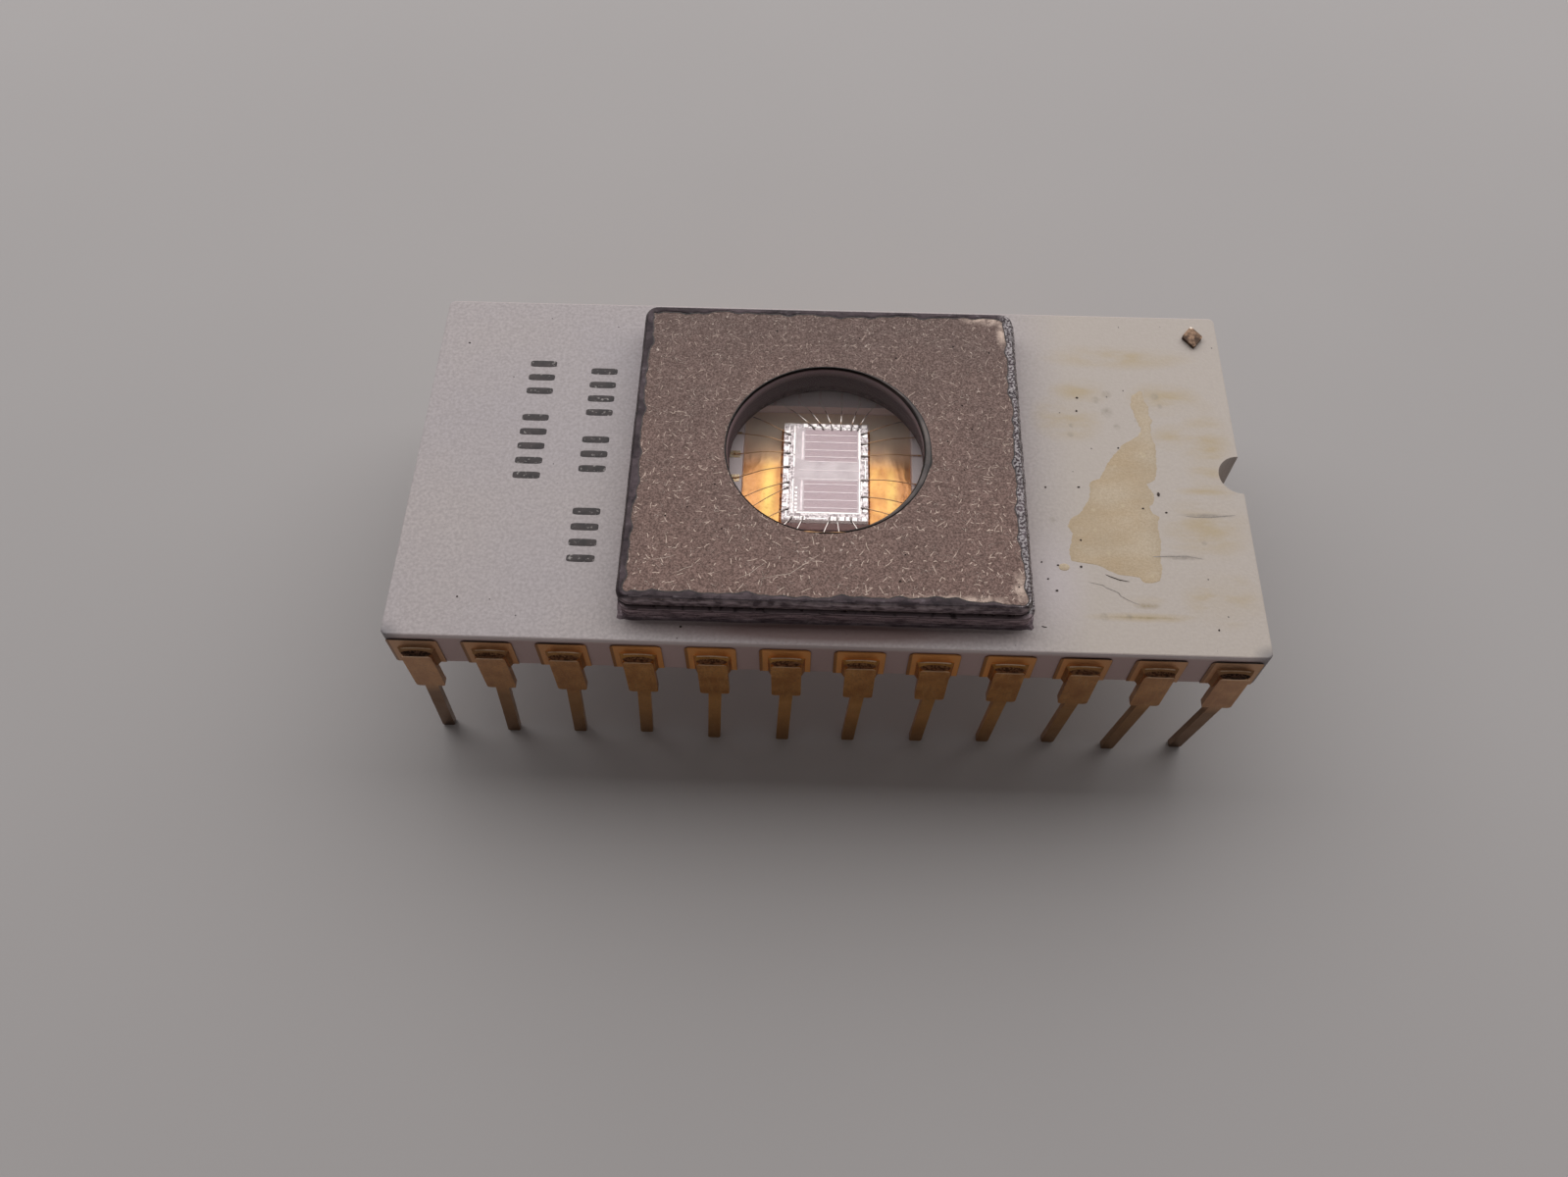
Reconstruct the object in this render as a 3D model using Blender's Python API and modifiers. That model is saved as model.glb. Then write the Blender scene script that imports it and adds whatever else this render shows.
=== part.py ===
"""A 24-lead side-brazed ceramic EPROM with a round window in its soldered lid.

X runs along the body, with the index notch at +X. Y runs across it, and Z is up. The part
stands on its lead tips at Z = 0, and the origin is below the middle of the body. All sizes
are in metres.
"""

import math

import bmesh
import bpy

# Clearance between pieces that are brazed, soldered, bonded or plated onto each other
SEAM = 0.00002

# Leads: flat Kovar strips that hang straight down beside the body
LEADS_PER_SIDE = 12
PITCH = 0.00254
ROW_SPACING = 0.01524
LEAD_THICKNESS = 0.00025
LEAD_WIDE = 0.00104
LEAD_NARROW = 0.00046
TIP_LENGTH = 0.00376
BODY_STANDOFF = 0.00139
LEAD_LAP = 0.00092
LEAD_TOP_CHAMFER = 0.00008
SHOULDER_ROUND = 0.00012
TIP_CHAMFER = 0.00006

# How far each tip of the near row is bent along X and Y, from lead 1 at -X to lead 12
TIP_BENDS = (
    (-0.00025, 0.00010),
    (-0.00025, -0.00005),
    (-0.00025, 0.0),
    (-0.00025, 0.00005),
    (-0.00020, -0.00010),
    (-0.00015, -0.00010),
    (-0.00020, -0.00005),
    (-0.00015, 0.0),
    (-0.00015, 0.00005),
    (-0.00020, 0.00010),
    (-0.00050, -0.00010),
    (-0.00045, 0.00005),
)

# Gold-plated pads on the body's long sides, and the braze that holds each lead on its pad
PAD_WIDTH = 0.00176
PAD_HEIGHT = 0.00163
PAD_THICKNESS = 0.00002
PAD_CORNER = 0.00020
PAD_SHIFT = -0.00005
BRAZE_GAP = 0.00003
BRAZE_FILLET = 0.00013
BRAZE_LIP = 0.00003

# Ceramic body: three layers fired as one, with a stepped cavity
END_MARGIN = 0.001025
BODY_CORNER = 0.00022
BODY_EDGE = 0.00005
BASE_THICKNESS = 0.00080
SHELF_HEIGHT = 0.00045
TOP_LAYER = 0.00067
CAVITY_LENGTH = 0.00628
CAVITY_WIDTH = 0.00628
CAVITY_CORNER = 0.00025
NOTCH_RADIUS = 0.00082
WELL_CORNER = 0.00040

# Gold-plated index mark in the corner beside the notch
MARK_ALONG = 0.00080
MARK_ACROSS = 0.00104
MARK_THICKNESS = 0.00012
MARK_FROM_END = 0.00099
MARK_FROM_SIDE = 0.00106

# Seal ring, brazed to the body round the cavity
RING_LENGTH = 0.01395
RING_SIDE_MARGIN = 0.00091
RING_WALL = 0.00100
RING_HEIGHT = 0.00050
RING_CORNER = 0.00040
RING_EDGE = 0.00008
RING_BRAZE_THICKNESS = 0.00005
RING_BRAZE_FOOT = 0.00008

# Lid: a metal frame with a collar that holds the window, soldered on the ring
SOLDER_THICKNESS = 0.00006
SOLDER_INSET = 0.00012
LID_SETBACK_X = 0.00002
LID_SETBACK_Y = 0.00010
LID_SHIFT_X = -0.00006
LID_THICKNESS = 0.00040
LID_CORNER = 0.00045
LID_EDGE = 0.00010
WINDOW_RADIUS = 0.00365
COLLAR_WALL = 0.00022
COLLAR_ABOVE_WIRES = 0.00003
COLLAR_CLEARANCE = 0.00043

# Window: a glass disc sealed into the frame
SEAL_WIDTH = 0.00012
GLASS_RECESS = 0.00006
GLASS_THICKNESS = 0.00090
GLASS_EDGE = 0.00003
MENISCUS = 0.00004
MENISCUS_MIDDLE = 0.00001

# Die on its gold floor
PLATING_THICKNESS = 0.00003
ATTACH_THICKNESS = 0.00004
ATTACH_MARGIN = 0.00010
DIE_WIDTH = 0.00313
DIE_LENGTH = 0.00441
DIE_THICKNESS = 0.00047
DIE_CORNER = 0.00002
DIE_SHIFT_X = -0.00006

# Bond wires, from pads near the die's edge to the shelf beside the cavity
WIRE_DIAMETER = 0.00004
WIRE_RISE = 0.00008
WIRE_FOOT = 0.00012
PAD_INSET = 0.00014
FINGER_INSET = 0.00022

# Where the wires of each side start and end: shares of the die's and of the cavity's half size
WIRES_AT_MINUS_X = (
    (0.83, 0.83),
    (0.63, 0.54),
    (0.41, 0.25),
    (0.11, -0.07),
    (-0.23, -0.37),
    (-0.35, -0.61),
    (-0.80, -0.84),
)
WIRES_AT_PLUS_X = (
    (0.87, 0.80),
    (0.64, 0.54),
    (0.37, 0.29),
    (-0.14, -0.10),
    (-0.50, -0.39),
    (-0.74, -0.63),
)
WIRES_AT_PLUS_Y = (
    (-0.35, -0.59),
    (-0.10, -0.32),
    (0.15, -0.09),
    (0.38, 0.16),
    (0.66, 0.36),
    (0.85, 0.55),
)
WIRES_AT_MINUS_Y = (
    (-0.86, -0.70),
    (-0.56, -0.41),
    (0.12, -0.10),
    (0.31, 0.17),
    (0.67, 0.48),
)

# Smoothness of round stretches, and the angle above which an edge is shaded sharp
CORNER_STEPS = 4
EDGE_STEPS = 2
CIRCLE_STEPS = 72
NOTCH_STEPS = 32
WIRE_POINTS = 11
SHARP_ANGLE = math.radians(35)

# Levels and sizes that follow from the values above
BODY_LENGTH = (LEADS_PER_SIDE - 1) * PITCH + 2 * END_MARGIN
BODY_WIDTH = ROW_SPACING - LEAD_THICKNESS - 2 * (BRAZE_GAP + PAD_THICKNESS + SEAM)
BODY_BOTTOM = TIP_LENGTH + BODY_STANDOFF
FLOOR = BODY_BOTTOM + BASE_THICKNESS
SHELF = FLOOR + SHELF_HEIGHT
BODY_TOP = SHELF + TOP_LAYER
RING_WIDTH = BODY_WIDTH - 2 * RING_SIDE_MARGIN
RING_BOTTOM = BODY_TOP + SEAM + RING_BRAZE_THICKNESS + SEAM
SOLDER_BOTTOM = RING_BOTTOM + RING_HEIGHT + SEAM
LID_BOTTOM = SOLDER_BOTTOM + SOLDER_THICKNESS + SEAM
LID_TOP = LID_BOTTOM + LID_THICKNESS
LID_LENGTH = RING_LENGTH - 2 * LID_SETBACK_X
LID_WIDTH = RING_WIDTH - 2 * LID_SETBACK_Y
COLLAR_RADIUS = WINDOW_RADIUS + COLLAR_WALL
WELL_HALF = COLLAR_RADIUS + COLLAR_CLEARANCE + abs(LID_SHIFT_X)
GLASS_RADIUS = WINDOW_RADIUS - SEAM - SEAL_WIDTH - SEAM
GLASS_TOP = LID_TOP - GLASS_RECESS
GLASS_BOTTOM = GLASS_TOP - GLASS_THICKNESS
PLATING_TOP = FLOOR + SEAM + PLATING_THICKNESS
ATTACH_TOP = PLATING_TOP + SEAM + ATTACH_THICKNESS
DIE_BOTTOM = ATTACH_TOP + SEAM
DIE_TOP = DIE_BOTTOM + DIE_THICKNESS
WIRE_TOP = DIE_TOP + SEAM + WIRE_DIAMETER + WIRE_RISE
COLLAR_BOTTOM = WIRE_TOP + COLLAR_ABOVE_WIRES


def clear_scene():
    for obj in list(bpy.data.objects):
        bpy.data.objects.remove(obj, do_unlink=True)


def new_collection(name):
    collection = bpy.data.collections.new(name)
    bpy.context.scene.collection.children.link(collection)
    return collection


def new_material(name, colour, roughness, metallic=0.0, transmission=0.0):
    material = bpy.data.materials.new(name)
    material.use_nodes = True
    shader = material.node_tree.nodes["Principled BSDF"]
    shader.inputs["Base Color"].default_value = (*colour, 1.0)
    shader.inputs["Roughness"].default_value = roughness
    shader.inputs["Metallic"].default_value = metallic
    shader.inputs["Transmission Weight"].default_value = transmission
    material.diffuse_color = (*colour, 1.0)
    return material


clear_scene()
PARTS = new_collection("eprom_chip")
CUTTERS = new_collection("cutters")

ALUMINA = new_material("white_alumina", (0.74, 0.70, 0.68), 0.55)
LEAD_PLATE = new_material("gold_plated_kovar", (0.45, 0.28, 0.12), 0.42, 1.0)
MARK_PLATE = new_material("gold_plated_mark", (0.50, 0.34, 0.18), 0.40, 1.0)
FLOOR_GOLD = new_material("bright_gold", (0.95, 0.62, 0.25), 0.15, 1.0)
ATTACH_GOLD = new_material("gold_silicon", (0.55, 0.30, 0.14), 0.45, 1.0)
RING_METAL = new_material("oxidised_kovar", (0.16, 0.15, 0.16), 0.55, 1.0)
LID_METAL = new_material("lid_kovar", (0.27, 0.23, 0.21), 0.50, 1.0)
SOLDER = new_material("dull_solder", (0.10, 0.09, 0.10), 0.60, 1.0)
SEAL_GLASS = new_material("seal_glass", (0.25, 0.24, 0.22), 0.25)
WINDOW_GLASS = new_material("window_glass", (0.95, 0.97, 0.98), 0.02, 0.0, 1.0)
SILICON = new_material("silicon_die", (0.48, 0.43, 0.47), 0.25, 0.3)
WIRE_METAL = new_material("aluminium_wire", (0.85, 0.83, 0.80), 0.30, 1.0)


def add_object(name, mesh, material, location=(0, 0, 0), collection=PARTS):
    """A new object of this mesh, shaded smooth except at its sharp edges."""
    obj = bpy.data.objects.new(name, mesh)
    collection.objects.link(obj)
    obj.location = location
    if material is not None and not mesh.materials:
        mesh.materials.append(material)
    mesh.shade_smooth()
    mesh.set_sharp_from_angle(angle=SHARP_ANGLE)
    return obj


def finish_mesh(name, shape):
    mesh = bpy.data.meshes.new(name)
    shape.to_mesh(mesh)
    shape.free()
    return mesh


def slab_mesh(name, size, height, corner, edge=0.0):
    """A plate on Z = 0 with rounded corners, and eased upper edges where edge is given.

    Size is its length along X and its width along Y.
    """
    shape = bmesh.new()
    bmesh.ops.create_cube(shape, size=1.0)
    bmesh.ops.scale(shape, vec=(*size, height), verts=shape.verts)
    bmesh.ops.translate(shape, vec=(0, 0, height / 2), verts=shape.verts)
    upright = [e for e in shape.edges if abs(e.verts[0].co.z - e.verts[1].co.z) > height / 2]
    bmesh.ops.bevel(
        shape, geom=upright, offset=corner, segments=CORNER_STEPS, profile=0.5, affect="EDGES"
    )
    if edge:
        rim = [e for e in shape.edges if min(v.co.z for v in e.verts) > height / 2]
        bmesh.ops.bevel(
            shape, geom=rim, offset=edge, segments=EDGE_STEPS, profile=0.5, affect="EDGES"
        )
    return finish_mesh(name, shape)


def disc_mesh(name, radius, height, steps=CIRCLE_STEPS, edge=0.0):
    """A round plate on Z = 0, with eased upper and lower edges where edge is given."""
    shape = bmesh.new()
    bmesh.ops.create_cone(
        shape, cap_ends=True, segments=steps, radius1=radius, radius2=radius, depth=height
    )
    bmesh.ops.translate(shape, vec=(0, 0, height / 2), verts=shape.verts)
    if edge:
        rims = [e for e in shape.edges if abs(e.verts[0].co.z - e.verts[1].co.z) < height / 2]
        bmesh.ops.bevel(shape, geom=rims, offset=edge, segments=1, profile=0.5, affect="EDGES")
    return finish_mesh(name, shape)


def plate_mesh(name, outline, thickness):
    """A closed outline in X and Z given thickness along Y, half on each side of Y = 0.

    A curve's fill merges points as close as these, so the outline is one face, extruded.
    """
    shape = bmesh.new()
    face = shape.faces.new([shape.verts.new((x, -thickness / 2, z)) for x, z in outline])
    swept = bmesh.ops.extrude_face_region(shape, geom=[face])["geom"]
    moved = [item for item in swept if isinstance(item, bmesh.types.BMVert)]
    bmesh.ops.translate(shape, vec=(0, thickness, 0), verts=moved)
    bmesh.ops.recalc_face_normals(shape, faces=shape.faces)
    return finish_mesh(name, shape)


def add_boolean(obj, other, operation):
    modifier = obj.modifiers.new(other.name, "BOOLEAN")
    modifier.operation = operation
    modifier.solver = "EXACT"
    modifier.object = other


def add_cutter(name, mesh, location):
    cutter = add_object(name, mesh, None, location, CUTTERS)
    cutter.hide_render = True
    cutter.display_type = "WIRE"
    return cutter


def cut(obj, name, mesh, location):
    add_boolean(obj, add_cutter(name, mesh, location), "DIFFERENCE")


def evaluated_mesh(obj, name):
    """The mesh that an object's modifiers make, as data of its own."""
    bpy.context.view_layer.update()
    graph = bpy.context.evaluated_depsgraph_get()
    mesh = bpy.data.meshes.new_from_object(obj.evaluated_get(graph))
    mesh.name = name
    return mesh


def add_ceramic_body():
    """The body, with its well down to the shelf, the cavity below it and the end notch."""
    height = BODY_TOP - BODY_BOTTOM
    size = (BODY_LENGTH, BODY_WIDTH)
    mesh = slab_mesh("ceramic_body", size, height, BODY_CORNER, BODY_EDGE)
    body = add_object("ceramic_body", mesh, ALUMINA, (0, 0, BODY_BOTTOM))
    well = slab_mesh("well", (2 * WELL_HALF, 2 * WELL_HALF), 2 * TOP_LAYER, WELL_CORNER)
    cut(body, "well", well, (0, 0, SHELF))
    deep = slab_mesh("cavity", (CAVITY_LENGTH, CAVITY_WIDTH), 2 * SHELF_HEIGHT, CAVITY_CORNER)
    cut(body, "cavity", deep, (0, 0, FLOOR))
    notch = disc_mesh("notch", NOTCH_RADIUS, 3 * height, NOTCH_STEPS)
    cut(body, "notch", notch, (BODY_LENGTH / 2, 0, BODY_BOTTOM - height))


def lead_outline():
    """The lead's outline from the tip up: a narrow leg, round shoulders and a wide top."""
    half_wide = LEAD_WIDE / 2
    half_narrow = LEAD_NARROW / 2
    top = BODY_BOTTOM + LEAD_LAP
    right = [(half_narrow - TIP_CHAMFER, 0.0), (half_narrow, TIP_CHAMFER)]
    right.append((half_narrow, TIP_LENGTH))
    for step in range(CORNER_STEPS):
        angle = math.pi / 2 * step / (CORNER_STEPS - 1)
        x = half_wide - SHOULDER_ROUND + SHOULDER_ROUND * math.sin(angle)
        z = TIP_LENGTH + SHOULDER_ROUND - SHOULDER_ROUND * math.cos(angle)
        right.append((x, z))
    right.append((half_wide, top - LEAD_TOP_CHAMFER))
    right.append((half_wide - LEAD_TOP_CHAMFER, top))
    return right + [(-x, z) for x, z in reversed(right)]


def pad_outline(shift):
    """The pad's outline: square where it meets the body's bottom edge, round above."""
    half = PAD_WIDTH / 2
    top = BODY_BOTTOM + PAD_HEIGHT
    right = [(half, BODY_BOTTOM)]
    for step in range(CORNER_STEPS + 1):
        angle = math.pi / 2 * step / CORNER_STEPS
        x = half - PAD_CORNER + PAD_CORNER * math.cos(angle)
        z = top - PAD_CORNER + PAD_CORNER * math.sin(angle)
        right.append((x, z))
    left = [(-x, z) for x, z in reversed(right)]
    return [(x + shift, z) for x, z in right + left]


def braze_mesh():
    """The braze between lead and pad: a block that flares towards the pad.

    It runs from the middle of the lead's thickness to the middle of the pad's.
    """
    depth = LEAD_THICKNESS / 2 + BRAZE_GAP + PAD_THICKNESS / 2
    height = LEAD_LAP
    shape = bmesh.new()
    bmesh.ops.create_cube(shape, size=1.0)
    bmesh.ops.scale(shape, vec=(LEAD_WIDE, depth, height), verts=shape.verts)
    bmesh.ops.translate(shape, vec=(0, depth / 2, BODY_BOTTOM + height / 2), verts=shape.verts)
    middle = BODY_BOTTOM + height / 2
    for vert in shape.verts:
        flare = BRAZE_FILLET if vert.co.y > depth / 2 else BRAZE_LIP
        vert.co.x += math.copysign(flare, vert.co.x)
        vert.co.z += flare if vert.co.z > middle else BRAZE_LIP
    return finish_mesh("braze", shape)


def joined_lead_mesh(name, shift):
    """One lead brazed to its pad, with its tip on Z = 0. The pad is on the +Y side."""
    plate = plate_mesh("lead_plate", lead_outline(), LEAD_THICKNESS)
    lead = add_object("lead_plate", plate, LEAD_PLATE, collection=CUTTERS)
    braze = add_object("lead_braze", braze_mesh(), None, collection=CUTTERS)
    pad_place = (0, (LEAD_THICKNESS + PAD_THICKNESS) / 2 + BRAZE_GAP, 0)
    pad_plate = plate_mesh("lead_pad", pad_outline(shift), PAD_THICKNESS)
    pad = add_object("lead_pad", pad_plate, None, pad_place, CUTTERS)
    add_boolean(lead, braze, "UNION")
    add_boolean(lead, pad, "UNION")
    mesh = evaluated_mesh(lead, name)
    for helper in (lead, braze, pad):
        bpy.data.objects.remove(helper, do_unlink=True)
    return mesh


def bent_lead_mesh(straight, name, bend):
    """A copy of the straight lead whose leg leans evenly from its shoulder to its tip."""
    mesh = straight.copy()
    mesh.name = name
    for vert in mesh.vertices:
        share = max(0.0, 1.0 - vert.co.z / TIP_LENGTH)
        vert.co.x += bend[0] * share
        vert.co.y += bend[1] * share
    return mesh


def wrap_pad(mesh, side):
    """Bend the pad of a lead beside the body's corner round that corner.

    Side is 1 where the corner is on the lead's +X side, and -1 where it is on the other.
    """
    flat_end = END_MARGIN - BODY_CORNER
    body_face = LEAD_THICKNESS / 2 + BRAZE_GAP + PAD_THICKNESS + SEAM
    pad_zone = (LEAD_THICKNESS + BRAZE_GAP) / 2
    shape = bmesh.new()
    shape.from_mesh(mesh)
    for step in range(CORNER_STEPS):
        place = flat_end + BODY_CORNER * step / CORNER_STEPS
        whole = shape.verts[:] + shape.edges[:] + shape.faces[:]
        bmesh.ops.bisect_plane(
            shape, geom=whole, plane_co=(side * place, 0, 0), plane_no=(side, 0, 0)
        )
    for vert in shape.verts:
        past = side * vert.co.x - flat_end
        if past > 0 and vert.co.y > pad_zone:
            angle = past / BODY_CORNER
            radius = BODY_CORNER + body_face - vert.co.y
            vert.co.x = side * (flat_end + radius * math.sin(angle))
            vert.co.y = body_face + BODY_CORNER - radius * math.cos(angle)
    shape.to_mesh(mesh)
    shape.free()


def add_leads():
    """Leads 1 to 12 along the near side from -X, then 13 to 24 along the far side from +X."""
    near = joined_lead_mesh("lead_near", PAD_SHIFT)
    far = joined_lead_mesh("lead_far", -PAD_SHIFT)
    first = -(LEADS_PER_SIDE - 1) / 2 * PITCH
    corners = {0: -1, LEADS_PER_SIDE - 1: 1}
    for index in range(LEADS_PER_SIDE):
        name = f"lead_{index + 1:02d}"
        bend = TIP_BENDS[index % len(TIP_BENDS)]
        mesh = bent_lead_mesh(near, name, bend)
        if index in corners:
            wrap_pad(mesh, corners[index])
        add_object(name, mesh, LEAD_PLATE, (first + index * PITCH, -ROW_SPACING / 2, 0))
    for index in range(LEADS_PER_SIDE):
        name = f"lead_{LEADS_PER_SIDE + index + 1:02d}"
        mesh = far
        if index in corners:
            mesh = far.copy()
            wrap_pad(mesh, corners[index])
        lead = add_object(name, mesh, LEAD_PLATE, (-first - index * PITCH, ROW_SPACING / 2, 0))
        lead.rotation_euler.z = math.pi
    bpy.data.meshes.remove(near)


def add_index_mark():
    """A thick diamond of plated metal, with its points along X and Y."""
    shape = bmesh.new()
    bmesh.ops.create_cone(
        shape, cap_ends=True, segments=4, radius1=0.5, radius2=0.5, depth=MARK_THICKNESS
    )
    bmesh.ops.scale(shape, vec=(MARK_ALONG, MARK_ACROSS, 1), verts=shape.verts)
    upright = [e for e in shape.edges if e.verts[0].co.z * e.verts[1].co.z < 0]
    bmesh.ops.bevel(
        shape, geom=upright, offset=MARK_THICKNESS / 2, segments=2, profile=0.5, affect="EDGES"
    )
    place = (
        BODY_LENGTH / 2 - MARK_FROM_END,
        BODY_WIDTH / 2 - MARK_FROM_SIDE,
        BODY_TOP + SEAM + MARK_THICKNESS / 2,
    )
    add_object("index_mark", finish_mesh("index_mark", shape), MARK_PLATE, place)


def add_flat_ring(name, size, height, bottom, material, edge=0.0):
    """A rounded rectangular ring of this outer size, open over the seal ring's opening."""
    mesh = slab_mesh(name, size, height, RING_CORNER, edge)
    ring = add_object(name, mesh, material, (0, 0, bottom))
    opening = (RING_LENGTH - 2 * RING_WALL, RING_WIDTH - 2 * RING_WALL)
    hole = slab_mesh(name + "_hole", opening, 3 * height, RING_CORNER)
    cut(ring, name + "_hole", hole, (0, 0, bottom - height))


def add_seal_ring():
    """The ring that the lid is soldered to, on a film of braze that shows as a thin foot."""
    foot = 2 * RING_BRAZE_FOOT
    size = (RING_LENGTH + foot, RING_WIDTH + foot)
    add_flat_ring("seal_ring_braze", size, RING_BRAZE_THICKNESS, BODY_TOP + SEAM, SOLDER)
    size = (RING_LENGTH, RING_WIDTH)
    add_flat_ring("seal_ring", size, RING_HEIGHT, RING_BOTTOM, RING_METAL, RING_EDGE)


def add_lid():
    """The solder, and the frame: a plate with a round hole and a collar round it below."""
    size = (LID_LENGTH - 2 * SOLDER_INSET, LID_WIDTH - 2 * SOLDER_INSET)
    add_flat_ring("lid_solder", size, SOLDER_THICKNESS, SOLDER_BOTTOM, SOLDER)
    size = (LID_LENGTH, LID_WIDTH)
    mesh = slab_mesh("window_frame", size, LID_THICKNESS, LID_CORNER, LID_EDGE)
    frame = add_object("window_frame", mesh, LID_METAL, (LID_SHIFT_X, 0, LID_BOTTOM))
    collar_height = LID_BOTTOM - COLLAR_BOTTOM + LID_THICKNESS / 2
    collar_mesh = disc_mesh("collar", COLLAR_RADIUS, collar_height)
    collar = add_cutter("collar", collar_mesh, (LID_SHIFT_X, 0, COLLAR_BOTTOM))
    add_boolean(frame, collar, "UNION")
    hole = disc_mesh("window_hole", WINDOW_RADIUS, 3 * (LID_TOP - COLLAR_BOTTOM))
    cut(frame, "window_hole", hole, (LID_SHIFT_X, 0, 2 * COLLAR_BOTTOM - LID_TOP))


def add_glass_seal():
    """The ring of sealing glass, a turned section whose top dips towards the window."""
    outer = WINDOW_RADIUS - SEAM
    inner = outer - SEAL_WIDTH
    section = (
        (outer, GLASS_TOP + MENISCUS),
        (outer, GLASS_BOTTOM),
        (inner, GLASS_BOTTOM),
        (inner, GLASS_TOP),
        ((outer + inner) / 2, GLASS_TOP + MENISCUS_MIDDLE),
    )
    shape = bmesh.new()
    verts = [shape.verts.new((x, 0, z)) for x, z in section]
    for index, vert in enumerate(verts):
        shape.edges.new((vert, verts[(index + 1) % len(verts)]))
    mesh = finish_mesh("glass_seal", shape)
    seal = add_object("glass_seal", mesh, SEAL_GLASS, (LID_SHIFT_X, 0, 0))
    screw = seal.modifiers.new("turn", "SCREW")
    screw.axis = "Z"
    screw.steps = CIRCLE_STEPS
    screw.render_steps = CIRCLE_STEPS
    screw.use_merge_vertices = True
    screw.merge_threshold = 0.000001


def add_window_glass():
    mesh = disc_mesh("window_glass", GLASS_RADIUS, GLASS_THICKNESS, edge=GLASS_EDGE)
    add_object("window_glass", mesh, WINDOW_GLASS, (LID_SHIFT_X, 0, GLASS_BOTTOM))


def add_die():
    """The plated cavity floor, the bond under the die, and the die itself."""
    size = (CAVITY_LENGTH - 2 * SEAM, CAVITY_WIDTH - 2 * SEAM)
    plating = slab_mesh("cavity_plating", size, PLATING_THICKNESS, CAVITY_CORNER - SEAM)
    add_object("cavity_plating", plating, FLOOR_GOLD, (0, 0, FLOOR + SEAM))
    size = (DIE_WIDTH + 2 * ATTACH_MARGIN, DIE_LENGTH + 2 * ATTACH_MARGIN)
    attach = slab_mesh("die_attach", size, ATTACH_THICKNESS, ATTACH_MARGIN)
    add_object("die_attach", attach, ATTACH_GOLD, (DIE_SHIFT_X, 0, PLATING_TOP + SEAM))
    die = slab_mesh("die", (DIE_WIDTH, DIE_LENGTH), DIE_THICKNESS, DIE_CORNER)
    add_object("die", die, SILICON, (DIE_SHIFT_X, 0, DIE_BOTTOM))


def wire_ends():
    """Start on the die and end on the shelf, in X and Y, for every wire in turn."""
    pad_x = DIE_WIDTH / 2 - PAD_INSET
    pad_y = DIE_LENGTH / 2 - PAD_INSET
    finger_x = CAVITY_LENGTH / 2 + FINGER_INSET
    finger_y = CAVITY_WIDTH / 2 + FINGER_INSET
    for side, wires in ((-1, WIRES_AT_MINUS_X), (1, WIRES_AT_PLUS_X)):
        for start, end in wires:
            yield (DIE_SHIFT_X + side * pad_x, start * pad_y), (side * finger_x, end * finger_y)
    for side, wires in ((1, WIRES_AT_PLUS_Y), (-1, WIRES_AT_MINUS_Y)):
        for start, end in wires:
            yield (DIE_SHIFT_X + start * pad_x, side * pad_y), (end * finger_x, side * finger_y)


def wire_path(start, end):
    """Points of a wire that lies flat for a foot at each end and arches between them.

    No point of it is higher than WIRE_TOP.
    """
    run = math.dist(start, end)
    along = ((end[0] - start[0]) / run, (end[1] - start[1]) / run)
    low = SEAM + WIRE_DIAMETER / 2
    for index in range(WIRE_POINTS):
        share = index / (WIRE_POINTS - 1)
        distance = -WIRE_FOOT / 2 + (run + WIRE_FOOT) * share
        free = min(max((distance - WIRE_FOOT / 2) / (run - WIRE_FOOT), 0.0), 1.0)
        fall = free * free * (3 - 2 * free)
        level = DIE_TOP + (SHELF - DIE_TOP) * fall
        z = level + low + WIRE_RISE * math.sin(math.pi * free) ** 2
        yield start[0] + along[0] * distance, start[1] + along[1] * distance, z


def add_wire(name, start, end):
    curve = bpy.data.curves.new(name, "CURVE")
    curve.dimensions = "3D"
    curve.bevel_depth = WIRE_DIAMETER / 2
    curve.bevel_resolution = 1
    curve.use_fill_caps = True
    spline = curve.splines.new("POLY")
    spline.points.add(WIRE_POINTS - 1)
    for point, place in zip(spline.points, wire_path(start, end)):
        point.co = (*place, 1.0)
    curve.materials.append(WIRE_METAL)
    PARTS.objects.link(bpy.data.objects.new(name, curve))


def add_wires():
    for number, (start, end) in enumerate(wire_ends(), 1):
        add_wire(f"bond_wire_{number:02d}", start, end)


add_ceramic_body()
add_leads()
add_index_mark()
add_seal_ring()
add_lid()
add_glass_seal()
add_window_glass()
add_die()
add_wires()
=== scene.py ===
"""The looks of a ceramic EPROM chip with a round window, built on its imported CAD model.

Sizes and places are in millimetres, in the frame of the model: X along the body towards the
notch, Y away from the camera, Z up, and Z = 0 at the lead tips.
"""

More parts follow.
